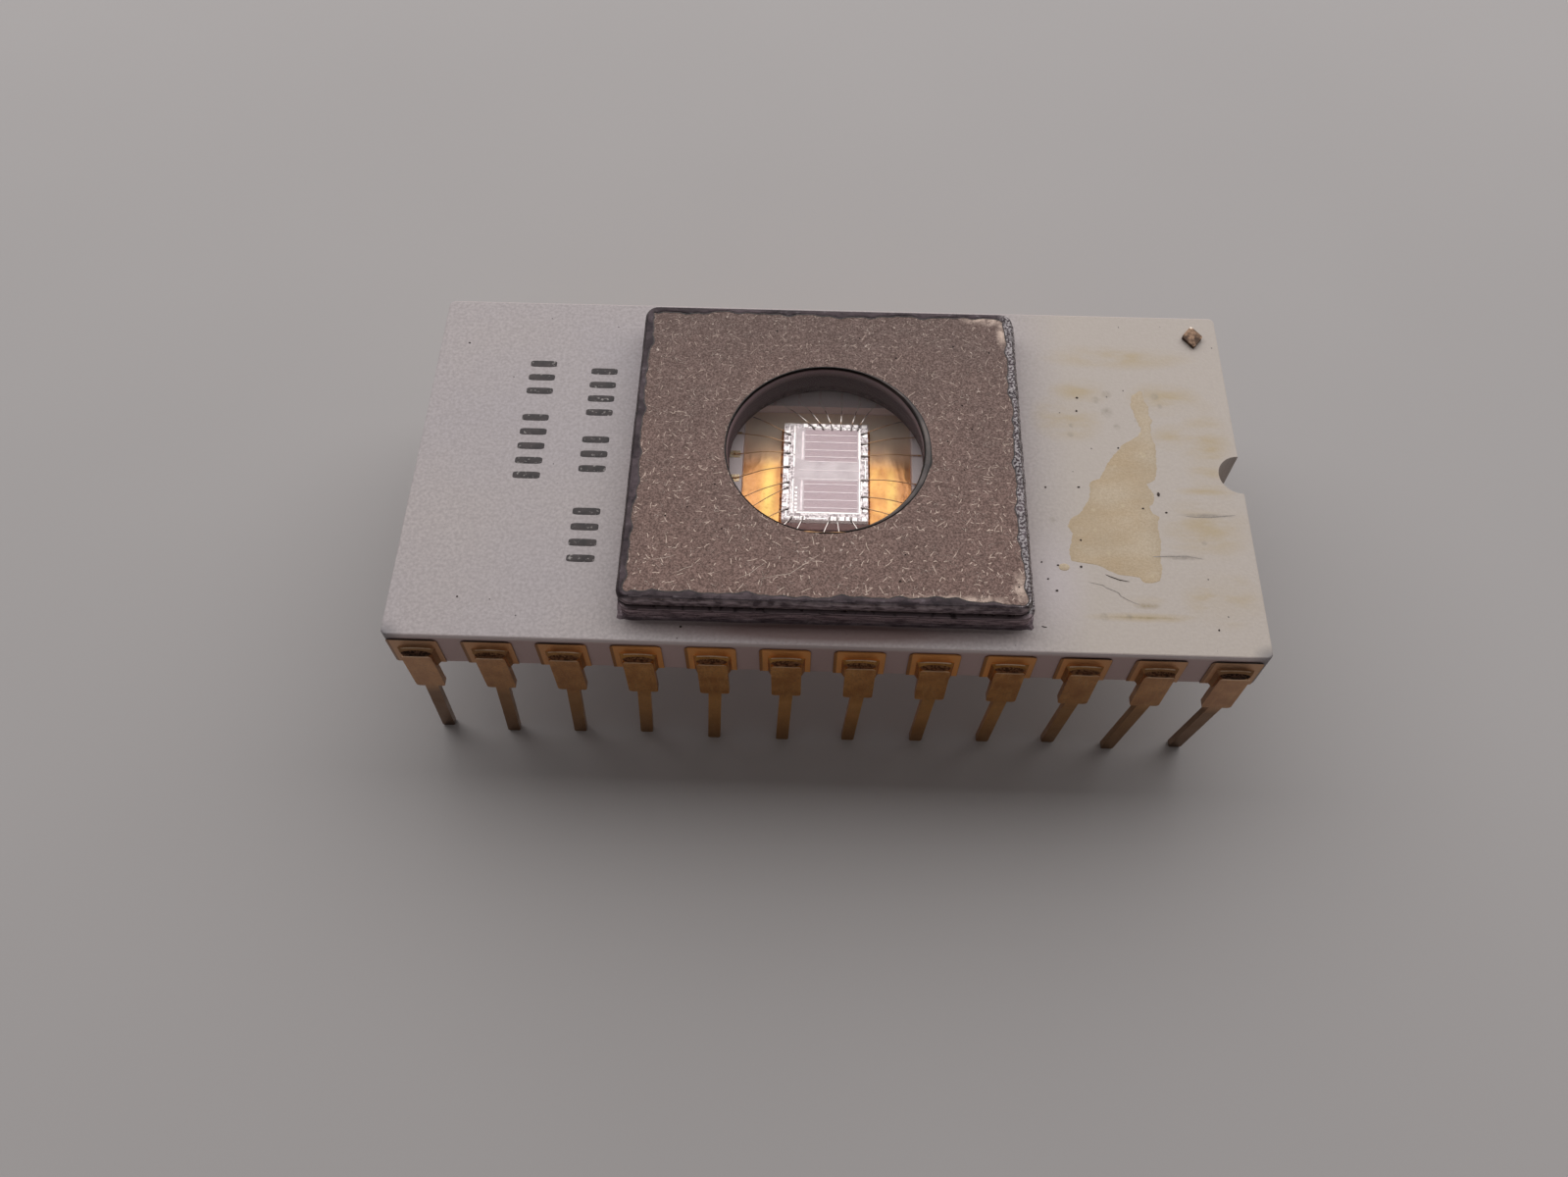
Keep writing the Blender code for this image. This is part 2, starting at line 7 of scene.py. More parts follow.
import bmesh
import bpy
import numpy as np
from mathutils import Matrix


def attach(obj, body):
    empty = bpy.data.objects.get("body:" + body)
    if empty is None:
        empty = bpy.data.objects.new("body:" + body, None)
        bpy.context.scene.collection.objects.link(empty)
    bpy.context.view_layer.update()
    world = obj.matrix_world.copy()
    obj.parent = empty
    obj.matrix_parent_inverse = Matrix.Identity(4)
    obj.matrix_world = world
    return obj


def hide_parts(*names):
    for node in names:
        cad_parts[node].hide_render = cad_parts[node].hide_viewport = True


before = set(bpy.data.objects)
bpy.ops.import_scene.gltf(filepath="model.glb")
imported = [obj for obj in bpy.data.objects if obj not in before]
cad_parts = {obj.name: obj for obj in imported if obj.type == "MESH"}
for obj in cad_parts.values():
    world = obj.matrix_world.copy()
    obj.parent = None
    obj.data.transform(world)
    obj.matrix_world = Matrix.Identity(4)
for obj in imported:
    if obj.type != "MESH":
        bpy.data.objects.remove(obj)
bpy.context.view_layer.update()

# Ceramic body: three layers of white alumina fired into one block, with a stepped cavity under
# the window and a half-round notch in one end. Handling has left it with faint yellow smudges,
# grey smears and stains, and pinholes.
BODY_TOP = 7.07
BODY_END = 15.0
BODY_SIDE = 7.42
NOTCH_RADIUS = 0.86
MIDDLE_X = -0.06  # of the well, and of all that stands in or over it
WELL_REACH = 6.5  # radius of a circle that holds the well
ALUMINA_WHITE = (190, 182, 178)
ALUMINA_WARM = (196, 176, 147)
ALUMINA_STAIN = (164, 152, 138)
ALUMINA_PIT = (62, 56, 54)
# Smudge: middle along X and Y, half length and half width
SMUDGES = (
    (11.0, 5.35, 3.2, 0.7), (13.9, 1.0, 1.1, 2.6), (13.4, -2.4, 1.8, 1.5),
    (13.6, -5.2, 1.5, 1.3), (10.9, -5.35, 0.8, 0.25), (9.4, 3.6, 1.3, 0.8),
    (11.0, -6.0, 2.4, 0.22), (12.9, 1.6, 1.3, 0.7), (8.9, 2.4, 1.5, 1.3), (12.6, 3.4, 1.6, 0.9),
    (13.6, -0.78, 1.2, 0.24), (13.3, -5.15, 1.1, 0.36),
)  # fmt: skip
# Smear, grey or brown: middle along X and Y, half length and half width
SMEARS = (
    (13.5, -1.80, 1.10, 0.11), (12.4, -3.57, 0.85, 0.13), (11.0, -5.54, 0.55, 0.15),
    (10.8, -6.00, 1.50, 0.06),
)  # fmt: skip
# Stain: middle along X and Y, and radius
STAINS = (
    (10.45, 3.54, 0.22), (10.03, 3.26, 0.20), (10.40, 2.71, 0.28), (12.25, 3.50, 0.20),
    (12.40, 3.04, 0.13), (10.70, 2.04, 0.17), (11.49, 2.32, 0.14), (9.01, 2.05, 0.12),
    (8.95, 1.63, 0.15), (8.02, -2.14, 0.17), (9.48, -6.02, 0.19), (10.33, -5.99, 0.14),
    (13.27, -2.95, 0.12),
)  # fmt: skip


def shade(red, green, blue):
    """A colour given as 0 to 255 on a screen, as the linear values that a shader takes."""
    part = np.array([red, green, blue]) / 255
    linear = np.where(part <= 0.04045, part / 12.92, ((part + 0.055) / 1.055) ** 2.4)
    return (*linear.tolist(), 1.0)


class Finish:
    """A material whose colour and relief follow the place of a point, in millimetres.

    The colour is built up in layers: ground sets the first, and each lay goes over the rest.
    """

    def __init__(self, name, metallic=0.0):
        self.material = bpy.data.materials.new(name)
        self.material.use_nodes = True
        self.tree = self.material.node_tree
        self.shader = self.tree.nodes["Principled BSDF"]
        self.shader.inputs["Metallic"].default_value = metallic
        self.place = self.vector("SCALE", self.node("TexCoord").outputs["Object"], scale=1000.0)
        self.x, self.y, self.z = self.node("SeparateXYZ", self.place).outputs
        self.colour = None

    def feed(self, socket, value):
        """Link a socket to another, or give it a constant."""
        if isinstance(value, bpy.types.NodeSocket):
            self.tree.links.new(value, socket)
        elif value is not None:
            socket.default_value = value

    def node(self, kind, *values, **settings):
        made = self.tree.nodes.new("ShaderNode" + kind)
        for name, value in settings.items():
            setattr(made, name, value)
        for socket, value in zip(made.inputs, values):
            self.feed(socket, value)
        return made

    def vector(self, operation, first, second=None, scale=None):
        made = self.node("VectorMath", first, second, None, scale, operation=operation)
        return made.outputs[0]

    def math(self, operation, *values):
        return self.node("Math", *values, operation=operation).outputs[0]

    def size(self, value):
        return self.math("ABSOLUTE", value)

    def fold(self, operation, values):
        """Join the first value with the second, the result with the third, and so on."""
        total, *rest = values
        for value in rest:
            total = self.math(operation, total, value)
        return total

    def most(self, *values):
        return self.fold("MAXIMUM", values)

    def times(self, *values):
        return self.fold("MULTIPLY", values)

    def length(self, x, y):
        """The distance of X and Y from zero."""
        away = self.node("CombineXYZ", x, y).outputs[0]
        return self.node("VectorMath", away, operation="LENGTH").outputs[1]

    def ramp(self, value, low, high, start=0.0, end=1.0):
        """A value that goes evenly from start to end as another goes from low to high."""
        return self.node("MapRange", value, low, high, start, end).outputs[0]

    def mix(self, share, first, second):
        """From the first colour to the second, each given for a screen or as a socket."""
        made = self.node("Mix", share, data_type="RGBA")
        for socket, colour in ((made.inputs[6], first), (made.inputs[7], second)):
            self.feed(socket, shade(*colour) if isinstance(colour, tuple) else colour)
        return made.outputs[2]

    def tones(self, value, low, high, first, second):
        """From the first colour to the second as a value goes from low to high."""
        return self.mix(self.ramp(value, low, high), first, second)

    def ground(self, value, low, high, first, second):
        """Set the colour that the others are laid over, from two tones."""
        self.colour = self.tones(value, low, high, first, second)

    def lay(self, tone, *shares):
        """Lay a tone over the colour so far, at the product of these shares."""
        self.colour = self.mix(self.times(*shares), self.colour, tone)

    def lay_where(self, tone, value, low, high, end=1.0, start=0.0):
        """Lay a tone at a share that goes from start to end as a value goes from low to high."""
        self.lay(tone, self.ramp(value, low, high, start, end))

    def moved(self, by, stretch=(1, 1, 1)):
        """The place shifted and stretched, so that two patterns don't fall together."""
        made = self.node("Mapping", self.place)
        made.inputs["Location"].default_value = (by, 2.3 * by, 0.7 * by)
        made.inputs["Scale"].default_value = stretch
        return made.outputs[0]

    def grain(self, per_mm, detail=2.0, by=0.0, stretch=(1, 1, 1)):
        """Even cloudy noise around 0.5, with about this many waves to a millimetre."""
        return self.node("TexNoise", self.moved(by, stretch), None, per_mm, detail).outputs[0]

    def specks(self, per_mm, radius, by=0.0):
        """1 in small round dots of about this radius, scattered at random, and 0 between."""
        cell = self.node("TexVoronoi", self.moved(by), None, per_mm)
        return self.ramp(cell.outputs["Distance"], radius * per_mm, 0.6 * radius * per_mm)

    def spot(self, x, y, half_x, half_y=None, soft=0.5):
        """1 in the middle of an ellipse or a circle seen from above, falling to 0 at its edge."""
        across = self.math("DIVIDE", self.math("SUBTRACT", self.x, x), half_x)
        along = self.math("DIVIDE", self.math("SUBTRACT", self.y, y), half_y or half_x)
        return self.ramp(self.length(across, along), 1.0, 1.0 - soft)

    def spots(self, places, soft):
        return self.most(*(self.spot(*place, soft=soft) for place in places))

    def coat(self, roughness, height=None, depth=0.0, metallic=None):
        """Set the colour, roughness and metallic share, and a relief of this depth."""
        for name, value in (("Base Color", self.colour), ("Roughness", roughness)):
            self.feed(self.shader.inputs[name], value)
        self.feed(self.shader.inputs["Metallic"], metallic)
        if height is not None:
            bump = self.node("Bump")
            bump.inputs["Distance"].default_value = depth / 1000
            self.feed(bump.inputs["Height"], height)
            self.feed(self.shader.inputs["Normal"], bump.outputs[0])
        return self.material


def dress(names, material):
    """Give CAD nodes a material in place of the plain one they come with."""
    for name in names:
        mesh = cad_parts[name].data
        mesh.materials.clear()
        mesh.materials.append(material)


def alumina():
    """White ceramic: slow clouds, fine grain, smudges with broken edges, smears, stains, pits.

    The right end is warmer, with one patch by the lid painted paler to undo the lid's shade.
    The long sides are painted browner as shade, below a pale strip that is a painted highlight
    on the edge, and are greyer at the near corners. A dull strip in front of the ring is a
    painted shadow of the lid. The well under the window is painted whiter to lift its shade,
    and the notch is painted a little darker as shade.
    """
    finish = Finish("alumina")
    cloud = finish.grain(0.12, 3.0)
    fine = finish.grain(9.0, 3.0, by=4.0)
    broken = finish.ramp(finish.grain(0.9, 4.0, by=9.0, stretch=(0.6, 1.5, 1)), 0.42, 0.60)
    mottle = finish.grain(6.0, 2.0, by=15.0)
    pit = finish.specks(1.1, 0.035, by=21.0)
    finish.ground(cloud, 0.3, 0.7, (192, 182, 185), (199, 187, 184))
    finish.lay_where((166, 156, 156), fine, 0.35, 0.65, 0.55)
    finish.lay_where((205, 192, 180), finish.x, 6.5, 9.0, 0.8)
    # Painted light: a paler patch by the lid, undoing the lid's shade there.
    finish.lay((216, 204, 206), finish.spot(7.9, -4.6, 1.4, 2.6, 0.9), 0.6)
    finish.lay(ALUMINA_WARM, finish.spots(SMUDGES, 0.8), finish.ramp(broken, 0.0, 1.0, 0.25, 1.0))
    finish.lay(ALUMINA_STAIN, finish.spots(STAINS, 0.6), finish.ramp(mottle, 0.3, 0.7, 0.15, 0.75))
    smear = finish.tones(finish.x, 11.5, 12.2, (164, 144, 112), (150, 138, 128))
    finish.lay(smear, finish.spots(SMEARS, 0.8), finish.ramp(mottle, 0.3, 0.7, 0.3, 0.9))
    finish.lay(ALUMINA_PIT, pit, 0.8)
    side = finish.ramp(finish.size(finish.y), BODY_SIDE - 0.04, BODY_SIDE)
    # Painted shade: the long sides are tinted browner, as the shade on them looks.
    finish.lay((190, 162, 158), side)
    # Painted highlight: a pale strip at the top of each long side, as if its edge caught light.
    finish.lay((222, 208, 206), side, finish.ramp(finish.z, BODY_TOP - 0.27, BODY_TOP - 0.09))
    corners = [(x, -BODY_SIDE - 0.03, 0.8, 0.6) for x in (-BODY_END, BODY_END)]
    finish.lay((118, 114, 118), finish.spots(corners, 0.8), 0.8)
    # Painted shadow: a dull strip in front of the ring, where the lid casts its shadow.
    finish.lay((126, 99, 95), finish.spot(0.0, -6.9, 7.6, 0.62, 0.6), 0.95)
    below = finish.ramp(finish.z, BODY_TOP - 0.03, BODY_TOP - 0.07)
    notch = finish.times(finish.spot(BODY_END, 0.0, NOTCH_RADIUS, soft=0.05), below)
    # Painted shade: the notch's wall is painted a little darker.
    finish.lay((168, 158, 156), notch, 0.5)
    # Painted light: the well under the window is painted whiter, to lift its shade.
    finish.lay((255, 240, 242), finish.spot(MIDDLE_X, 0.0, WELL_REACH, soft=0.1), below)
    height = finish.math("SUBTRACT", fine, pit)
    return finish.coat(finish.ramp(fine, 0.3, 0.7, 0.42, 0.58), height, 0.006)


dress(["ceramic_body"], alumina())

# Ink on the ceramic beside the lid: the chip is printed in two columns of brown-black ink.
# Here the columns are plain short bars, a film a few micrometres thick with worn edges.
INK_HEIGHT = 0.008
INK_BAR = (0.50, 0.15)  # half length along X and half width along Y
# For each column, its middle along X and those of its bars along Y
INK_COLUMNS = {
    -8.55: (4.05, 3.40, 2.75, 2.10, 0.85, 0.20, -0.45, -2.30, -2.95, -3.60, -4.25),
    -10.90: (4.35, 3.70, 3.05, 1.80, 1.15, 0.50, -0.15, -0.80),
}


def stand(name, data):
    """A new object in the scene."""
    thing = bpy.data.objects.new(name, data)
    bpy.context.scene.collection.objects.link(thing)
    return thing


def add_piece(name, sheets, material, sharp=35.0, outward=True):
    """A piece made of sheets, each an array of rows of points in millimetres.

    Neighbouring points are joined by four-sided faces. A sheet that closes on itself repeats
    its first row or column as its last, and points at the same place are welded.
    """
    shape = bmesh.new()
    for sheet in sheets:
        rows, columns = sheet.shape[:2]
        mesh = bpy.data.meshes.new(name)
        corner = np.arange(rows * columns).reshape(rows, columns)
        faces = np.stack(
            [corner[:-1, :-1], corner[1:, :-1], corner[1:, 1:], corner[:-1, 1:]], axis=-1
        )
        points = sheet.reshape(-1, 3) * 0.001
        mesh.from_pydata(points.tolist(), [], faces.reshape(-1, 4).tolist())
        shape.from_mesh(mesh)
        bpy.data.meshes.remove(mesh)
    bmesh.ops.remove_doubles(shape, verts=shape.verts, dist=1e-7)
    bmesh.ops.dissolve_degenerate(shape, edges=shape.edges, dist=1e-8)
    if outward:
        bmesh.ops.recalc_face_normals(shape, faces=shape.faces)
    mesh = bpy.data.meshes.new(name)
    shape.to_mesh(mesh)
    shape.free()
    mesh.materials.append(material)
    mesh.shade_smooth()
    mesh.set_sharp_from_angle(angle=np.radians(sharp))
    piece = stand(name, mesh)
    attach(piece, "root")
    return piece


def grid(x, y, z):
    """Rows of points from X, Y and Z, each a whole array or one that is spread to fit."""
    return np.stack(np.broadcast_arrays(x, y, z), axis=-1)


def pad_of_film(x, y, half_x, half_y, height, power=2.0, steps=24):
    """A low closed pad on the ceramic.

    Its outline is a superellipse of this power. Its section runs from the middle of the top to
    the rim, down to the ceramic and back to the middle of the bottom.
    """
    turn = np.linspace(0, 2 * np.pi, steps + 1)
    cos, sin = np.cos(turn), np.sin(turn)
    out_x = half_x * np.sign(cos) * np.abs(cos) ** (2 / power)
    out_y = half_y * np.sign(sin) * np.abs(sin) ** (2 / power)
    reach = np.array([0.0, 0.85, 1.0, 1.0, 0.0])
    level = np.array([1.0, 1.0, 0.5, -0.2, -0.2]) * height
    return grid(x + np.outer(out_x, reach), y + np.outer(out_y, reach), BODY_TOP + level)


def ink():
    """Brown-black print that has worn through to the ceramic in places."""
    finish = Finish("printing_ink")
    worn = finish.ramp(finish.grain(7.0, 4.0, by=3.0), 0.60, 0.70)
    finish.ground(finish.grain(3.0), 0.35, 0.65, (52, 45, 46), (72, 62, 62))
    finish.lay(ALUMINA_WHITE, worn, 0.7)
    return finish.coat(0.62, worn, -0.004)


add_piece(
    "ink_bars",
    [pad_of_film(x, y, *INK_BAR, INK_HEIGHT, 5.0) for x in INK_COLUMNS for y in INK_COLUMNS[x]],
    ink(),
)

# Adhesive left by a label over the window, now gone: one thin yellow film with a ragged edge
# beside the lid, a drop next to it, pencil lines and hairs on it, and dust that stuck.
RESIDUE_HEIGHT = 0.008
# Edges of the film from its far tip to its near end, as X and Y
RESIDUE_LEFT = (
    (11.72, 3.76), (11.39, 3.50), (11.28, 3.07), (11.37, 2.68), (11.46, 2.29), (11.58, 1.97),
    (11.44, 1.64), (11.11, 1.44), (10.78, 1.23), (10.54, 0.91), (10.24, 0.52), (10.00, 0.08),
    (9.81, -0.30), (9.55, -0.40), (9.41, -0.50), (9.36, -1.11), (9.15, -1.48), (8.87, -1.85),
    (8.52, -2.09), (8.45, -2.39), (8.60, -2.74), (8.49, -3.09), (8.40, -3.50), (8.50, -3.84),
    (9.30, -3.95), (9.51, -4.04), (9.79, -4.20), (10.07, -4.34), (10.78, -4.40), (11.00, -4.66),
)  # fmt: skip
RESIDUE_RIGHT = (
    (11.80, 3.76), (11.85, 3.29), (12.00, 2.96), (11.94, 2.63), (12.06, 2.37), (11.96, 2.11),
    (11.93, 1.65), (12.06, 1.21), (12.03, 0.70), (12.02, 0.14), (11.89, -0.33), (11.58, -0.50),
    (11.69, -0.73), (11.84, -0.97), (11.77, -1.33), (11.57, -1.49), (11.67, -1.76),
    (11.93, -1.93), (11.83, -2.14), (11.82, -2.58), (11.83, -2.93), (11.74, -3.51),
    (11.72, -4.08), (11.55, -4.54), (11.20, -4.66),
)  # fmt: skip
# Dust: X, Y, half length and half width
DUST = (
    (9.33, 3.35, 0.07, 0.05), (9.26, 2.73, 0.05, 0.06), (7.86, -0.75, 0.05, 0.04),
    (9.05, -0.71, 0.07, 0.04), (10.65, 1.07, 0.05, 0.04), (11.89, -0.94, 0.07, 0.12),
    (12.08, -1.71, 0.06, 0.04), (8.86, -4.05, 0.06, 0.06), (8.06, -4.01, 0.06, 0.04),
    (7.68, -4.57, 0.05, 0.04), (7.95, -5.03, 0.07, 0.05), (11.27, -1.56, 0.06, 0.04),
    (8.94, -2.96, 0.05, 0.05), (7.50, -3.90, 0.04, 0.04), (-4.87, -6.83, 0.06, 0.05),
    (-13.90, 5.30, 0.05, 0.04), (-12.60, -5.90, 0.04, 0.05), (13.30, -6.40, 0.04, 0.05),
)  # fmt: skip
HAIRS = (
    ((9.66, -4.33), (9.84, -4.42), (10.14, -4.54), (10.48, -4.60)),
    ((7.32, -6.43), (7.42, -6.46), (7.51, -6.47)),
)
PENCIL = (
    ((10.38, -3.61), (11.40, -3.57), (12.57, -3.50), (13.17, -3.62)),
    ((12.74, -1.84), (13.10, -1.87), (13.63, -1.86), (14.10, -1.80), (14.53, -1.75)),
    ((9.05, -4.66), (9.32, -4.72), (9.54, -4.77), (9.66, -4.87), (9.86, -4.96), (10.05, -5.05),
     (10.12, -5.18), (10.30, -5.30), (10.52, -5.42), (10.75, -5.50)),
)


def residue_film():
    """The film: across each row of Y it rises from one edge and falls to the other.

    Its height is even over most of the width, with low waves, and its underside is flat. Small
    sines make both edges ragged, and the film thins out at its far and near ends.
    """
    left, right = np.array(RESIDUE_LEFT), np.array(RESIDUE_RIGHT)
    y = np.linspace(left[0, 1], left[-1, 1], 181)
    low = np.interp(-y, -left[:, 1], left[:, 0])
    high = np.interp(-y, -right[:, 1], right[:, 0])
    low += 0.025 * np.sin(9.0 * y + 1.0) * np.sin(23.0 * y)
    high += 0.02 * np.sin(11.0 * y) * np.sin(29.0 * y + 2.0)
    over, under = 25, 7
    share = np.concatenate([np.linspace(0, 1, over), np.linspace(1, 0, under)])
    dome = 1 - np.abs(2 * share - 1) ** 8
    taper = np.minimum(1, 12 * np.minimum(y[0] - y, y - y[-1]))[:, None]
    low, high, y = low[:, None], high[:, None], y[:, None]
    x = low + (high - low) * share
    wave = 0.75 + 0.15 * np.sin(2.1 * x + y) + 0.1 * np.sin(4.7 * y - 1.3 * x)
    above = np.arange(over + under) < over
    z = np.where(above, RESIDUE_HEIGHT * dome * wave * taper, 0.0) - 0.002
    return grid(x, y, BODY_TOP + z)


def strand(path, half_width, height, level=BODY_TOP):
    """A fine line along a path: a flat tube, widest in its middle, with both ends closed."""
    path = np.array(path)
    run = np.concatenate([[0], np.cumsum(np.hypot(*np.diff(path, axis=0).T))])
    at = np.linspace(0, run[-1], 8 * len(path))
    x, y = np.interp(at, run, path[:, 0]), np.interp(at, run, path[:, 1])
    slope = np.arctan2(np.gradient(y), np.gradient(x))[:, None]
    width = half_width * np.sin(np.pi * np.clip(at / run[-1], 0, 1)) ** 0.4
    turn = np.linspace(0, 2 * np.pi, 9)
    side = np.outer(width, np.cos(turn))
    z = level + height * np.outer(width / half_width, 0.5 + 0.6 * np.sin(turn))
    return grid(x[:, None] - np.sin(slope) * side, y[:, None] + np.cos(slope) * side, z)


def adhesive():
    """Dry yellow glue: browner where it is thin at the rim, with pale flecks and fine grain."""
    finish = Finish("dry_adhesive")
    cloud = finish.ramp(finish.grain(0.7, 4.0, by=6.0, stretch=(0.7, 1.5, 1)), 0.36, 0.64)
    finish.colour = finish.mix(cloud, (206, 180, 145), (211, 191, 164))
    finish.lay_where((205, 191, 172), finish.x, 11.0, 12.0, 0.45)
    finish.lay_where((176, 152, 118), finish.z, BODY_TOP + 0.002, BODY_TOP + 0.006, 0.0, 0.35)
    finish.lay((222, 204, 170), finish.specks(1.6, 0.10, by=11.0), 0.5)
    fine = finish.grain(14.0, 3.0, by=2.0)
    finish.lay_where((176, 152, 122), fine, 0.35, 0.7, 0.35)
    return finish.coat(finish.ramp(fine, 0.3, 0.7, 0.38, 0.6), fine, 0.010)


def fine_mark(name, dark, pale):
    """Dust, a hair, pencil or a bright scratch: one tone with fine grain."""
    finish = Finish(name)
    fine = finish.grain(12.0, 3.0, by=8.0)
    finish.ground(fine, 0.3, 0.7, dark, pale)
    return finish.coat(0.8, fine, 0.01)


add_piece(
    "adhesive_residue",
    [residue_film(), pad_of_film(8.27, -4.08, 0.19, 0.14, 0.010)],
    adhesive(),
)
add_piece(
    "dust",
    [pad_of_film(x, y, 0.75 * a, 0.75 * b, 0.02, 2.0, 10) for x, y, a, b in DUST]
    + [strand(path, 0.015, 0.02) for path in HAIRS],
    fine_mark("dust_and_hair", (44, 34, 30), (74, 60, 52)),
)
add_piece(
    "pencil_marks",
    [strand(path, 0.022, 0.004) for path in PENCIL],
    fine_mark("pencil", (150, 140, 134), (172, 162, 154)),
)

# Leads: strips of gold-plated Kovar, stamped to shape, each brazed flat onto a gold-plated pad
# on the body's side. The stamped upper ends show bare dark metal behind a bright lip of braze.
PITCH = 2.54
LEAD_TOP = 6.07
PAD_TOP = 6.78
PAD_FACE = 7.465
LEAD_OUTSIDE = 7.745
SHOULDER = (3.9, 3.2)  # heights between which a lead narrows to its leg
CUT_HALF = 0.53  # of the bare cut end, along X
CUT_MIDDLE = 7.64  # of the bare cut end, outwards
LEADS = [f"lead_{number:02d}" for number in range(1, 25)]
LEAD_GOLD = (222, 160, 92)
LEAD_PALE = (240, 192, 128)
LEAD_BROWN = (184, 126, 70)


def bare_cut(finish, fine, ends):
    """Bare metal where a lead was cut: the tone given for the row's ends, browner in mid row."""
    browner = finish.tones(fine, 0.40, 0.60, (100, 66, 46), (172, 124, 88))
    return finish.mix(finish.ramp(finish.size(finish.x), 14.0, 10.5), ends, browner)


def lead_plate():
    """Gold plating, a little brown and uneven, darker at the tips and along the pad's rim.

    The leads near the ends of the rows are duller than those in the middle. Each upper end is
    bare in an oval, in front of a bright burr. The dark line along the top of the pad is a
    painted shadow.
    """
    finish = Finish("lead_plating", metallic=1.0)
    across = finish.math("SUBTRACT", finish.math("WRAP", finish.x, PITCH, 0.0), PITCH / 2)
    across, along, outward = map(finish.size, (across, finish.x, finish.y))
    cloud = finish.grain(1.1, 4.0, by=5.0)
    streak = finish.grain(6.0, 3.0, by=12.0, stretch=(1, 1, 0.18))
    fine = finish.grain(15.0, 3.0, by=1.0)
    finish.ground(cloud, 0.35, 0.65, LEAD_BROWN, LEAD_GOLD)
    finish.lay_where(LEAD_PALE, streak, 0.5, 0.72, 0.35)
    finish.lay_where((146, 100, 64), fine, 0.50, 0.70, 0.5)
    on_pad = finish.ramp(outward, PAD_FACE + 0.012, PAD_FACE + 0.004, 0.0, 0.85)
    finish.lay((255, 180, 106), on_pad)
    finish.lay_where((255, 196, 124), finish.z, *SHOULDER, 0.5)
    dull = finish.ramp(along, 6.0, 14.0, 0.0, 0.55)
    finish.lay((168, 136, 116), dull)
    finish.lay((160, 140, 122), on_pad, dull)
    finish.lay_where((104, 78, 66), finish.z, 2.2, 0.10, 0.55)
    finish.lay((96, 72, 54), dull, finish.ramp(finish.z, *SHOULDER, 0.0, 1.35))
    above = finish.ramp(finish.z, LEAD_TOP - 0.02, LEAD_TOP)
    half = finish.math("DIVIDE", across, CUT_HALF)
    deep = finish.math("DIVIDE", finish.math("SUBTRACT", outward, CUT_MIDDLE - 0.005), 0.088)
    oval = finish.ramp(finish.length(half, deep), 1.04, 0.94)
    ends = finish.tones(fine, 0.45, 0.65, (60, 41, 35), (138, 102, 82))
    finish.lay(bare_cut(finish, fine, ends), above, oval)
    burr = finish.times(
        finish.ramp(outward, LEAD_OUTSIDE - 0.02, LEAD_OUTSIDE - 0.005),
        finish.ramp(finish.z, LEAD_TOP - 0.08, LEAD_TOP - 0.05),
    )
    finish.lay((250, 222, 190), burr, 0.5)
    finish.lay_where((96, 64, 44), across, 0.80, 0.84, 0.6)
    # Painted shadow: a dark line along the top of the pad, stronger towards the row's ends.
    rim = finish.ramp(finish.z, PAD_TOP - 0.075, PAD_TOP - 0.045)
    finish.lay((34, 22, 18), rim, finish.ramp(along, 5.0, 9.0, 0.35, 0.95))
    return finish.coat(finish.ramp(cloud, 0.35, 0.65, 0.42, 0.30), fine, 0.010)


dress(LEADS, lead_plate())


def braze_lip(centre, side):
    """A thin bead of braze round the end of one lead, with both ends closed.

    Its path is the upper half of a flattened ring, and its section is a circle that is widest
    over the lead's middle.
    """
    turn = np.linspace(-1, 1, 25)
    x = 0.60 * np.sin(turn * np.pi / 2) * (1 + 0.04 * np.cos(5 * turn + centre))
    z = LEAD_TOP - 0.05 + 0.20 * np.cos(turn * np.pi / 2) ** 0.55
    size = 0.026 * np.sqrt(np.clip(1 - np.abs(turn) ** 6, 0, 1))
    way = np.stack([np.gradient(x), np.gradient(z)])
    way_x, way_z = (way / np.hypot(*way))[:, :, None]
    angle = np.linspace(0, 2 * np.pi, 9)
    out = np.outer(size, np.cos(angle))
    deep = np.outer(size, np.sin(angle))
    return grid(
        centre + x[:, None] - way_z * out,
        side * (PAD_FACE + 0.018 + deep),
        z[:, None] + way_x * out,
    )


def cut_end(centre, side):
    """The stamped end of one lead: a rough dark cap on it with an oval outline.

    Across the cap the height falls to its edges and dips in its middle, with small ripples.
    """
    along = np.linspace(-1, 1, 17)
    across = np.linspace(-1, 1, 7)
    u, v = np.meshgrid(along, across, indexing="ij")
    outline = np.sqrt(np.clip(1 - np.abs(u) ** 2.2, 0, 1))
    ragged = 1 + 0.08 * np.sin(7 * u + 5 * centre)
    y = side * (CUT_MIDDLE + 0.10 * v * outline * ragged)
    edge = (1 - u**8) * (1 - v**8)
    dip = 0.030 * (1 - u**2) * (1 - v**2)
    ripple = 0.014 * np.sin(9 * u + 3 * centre) * np.sin(5 * v + centre)
    z = LEAD_TOP + 0.020 + edge * (0.022 - dip + ripple)
    return grid(centre + CUT_HALF * u, y, z)


def stamped_end():
    """Bare stamped metal, dark brown, with lighter high spots."""
    finish = Finish("stamped_end", metallic=0.4)
    fine = finish.grain(7.0, 4.0, by=17.0)
    ends = finish.tones(fine, 0.42, 0.66, (48, 33, 28), (136, 100, 78))
    finish.colour = bare_cut(finish, fine, ends)
    return finish.coat(0.6, fine, 0.03)


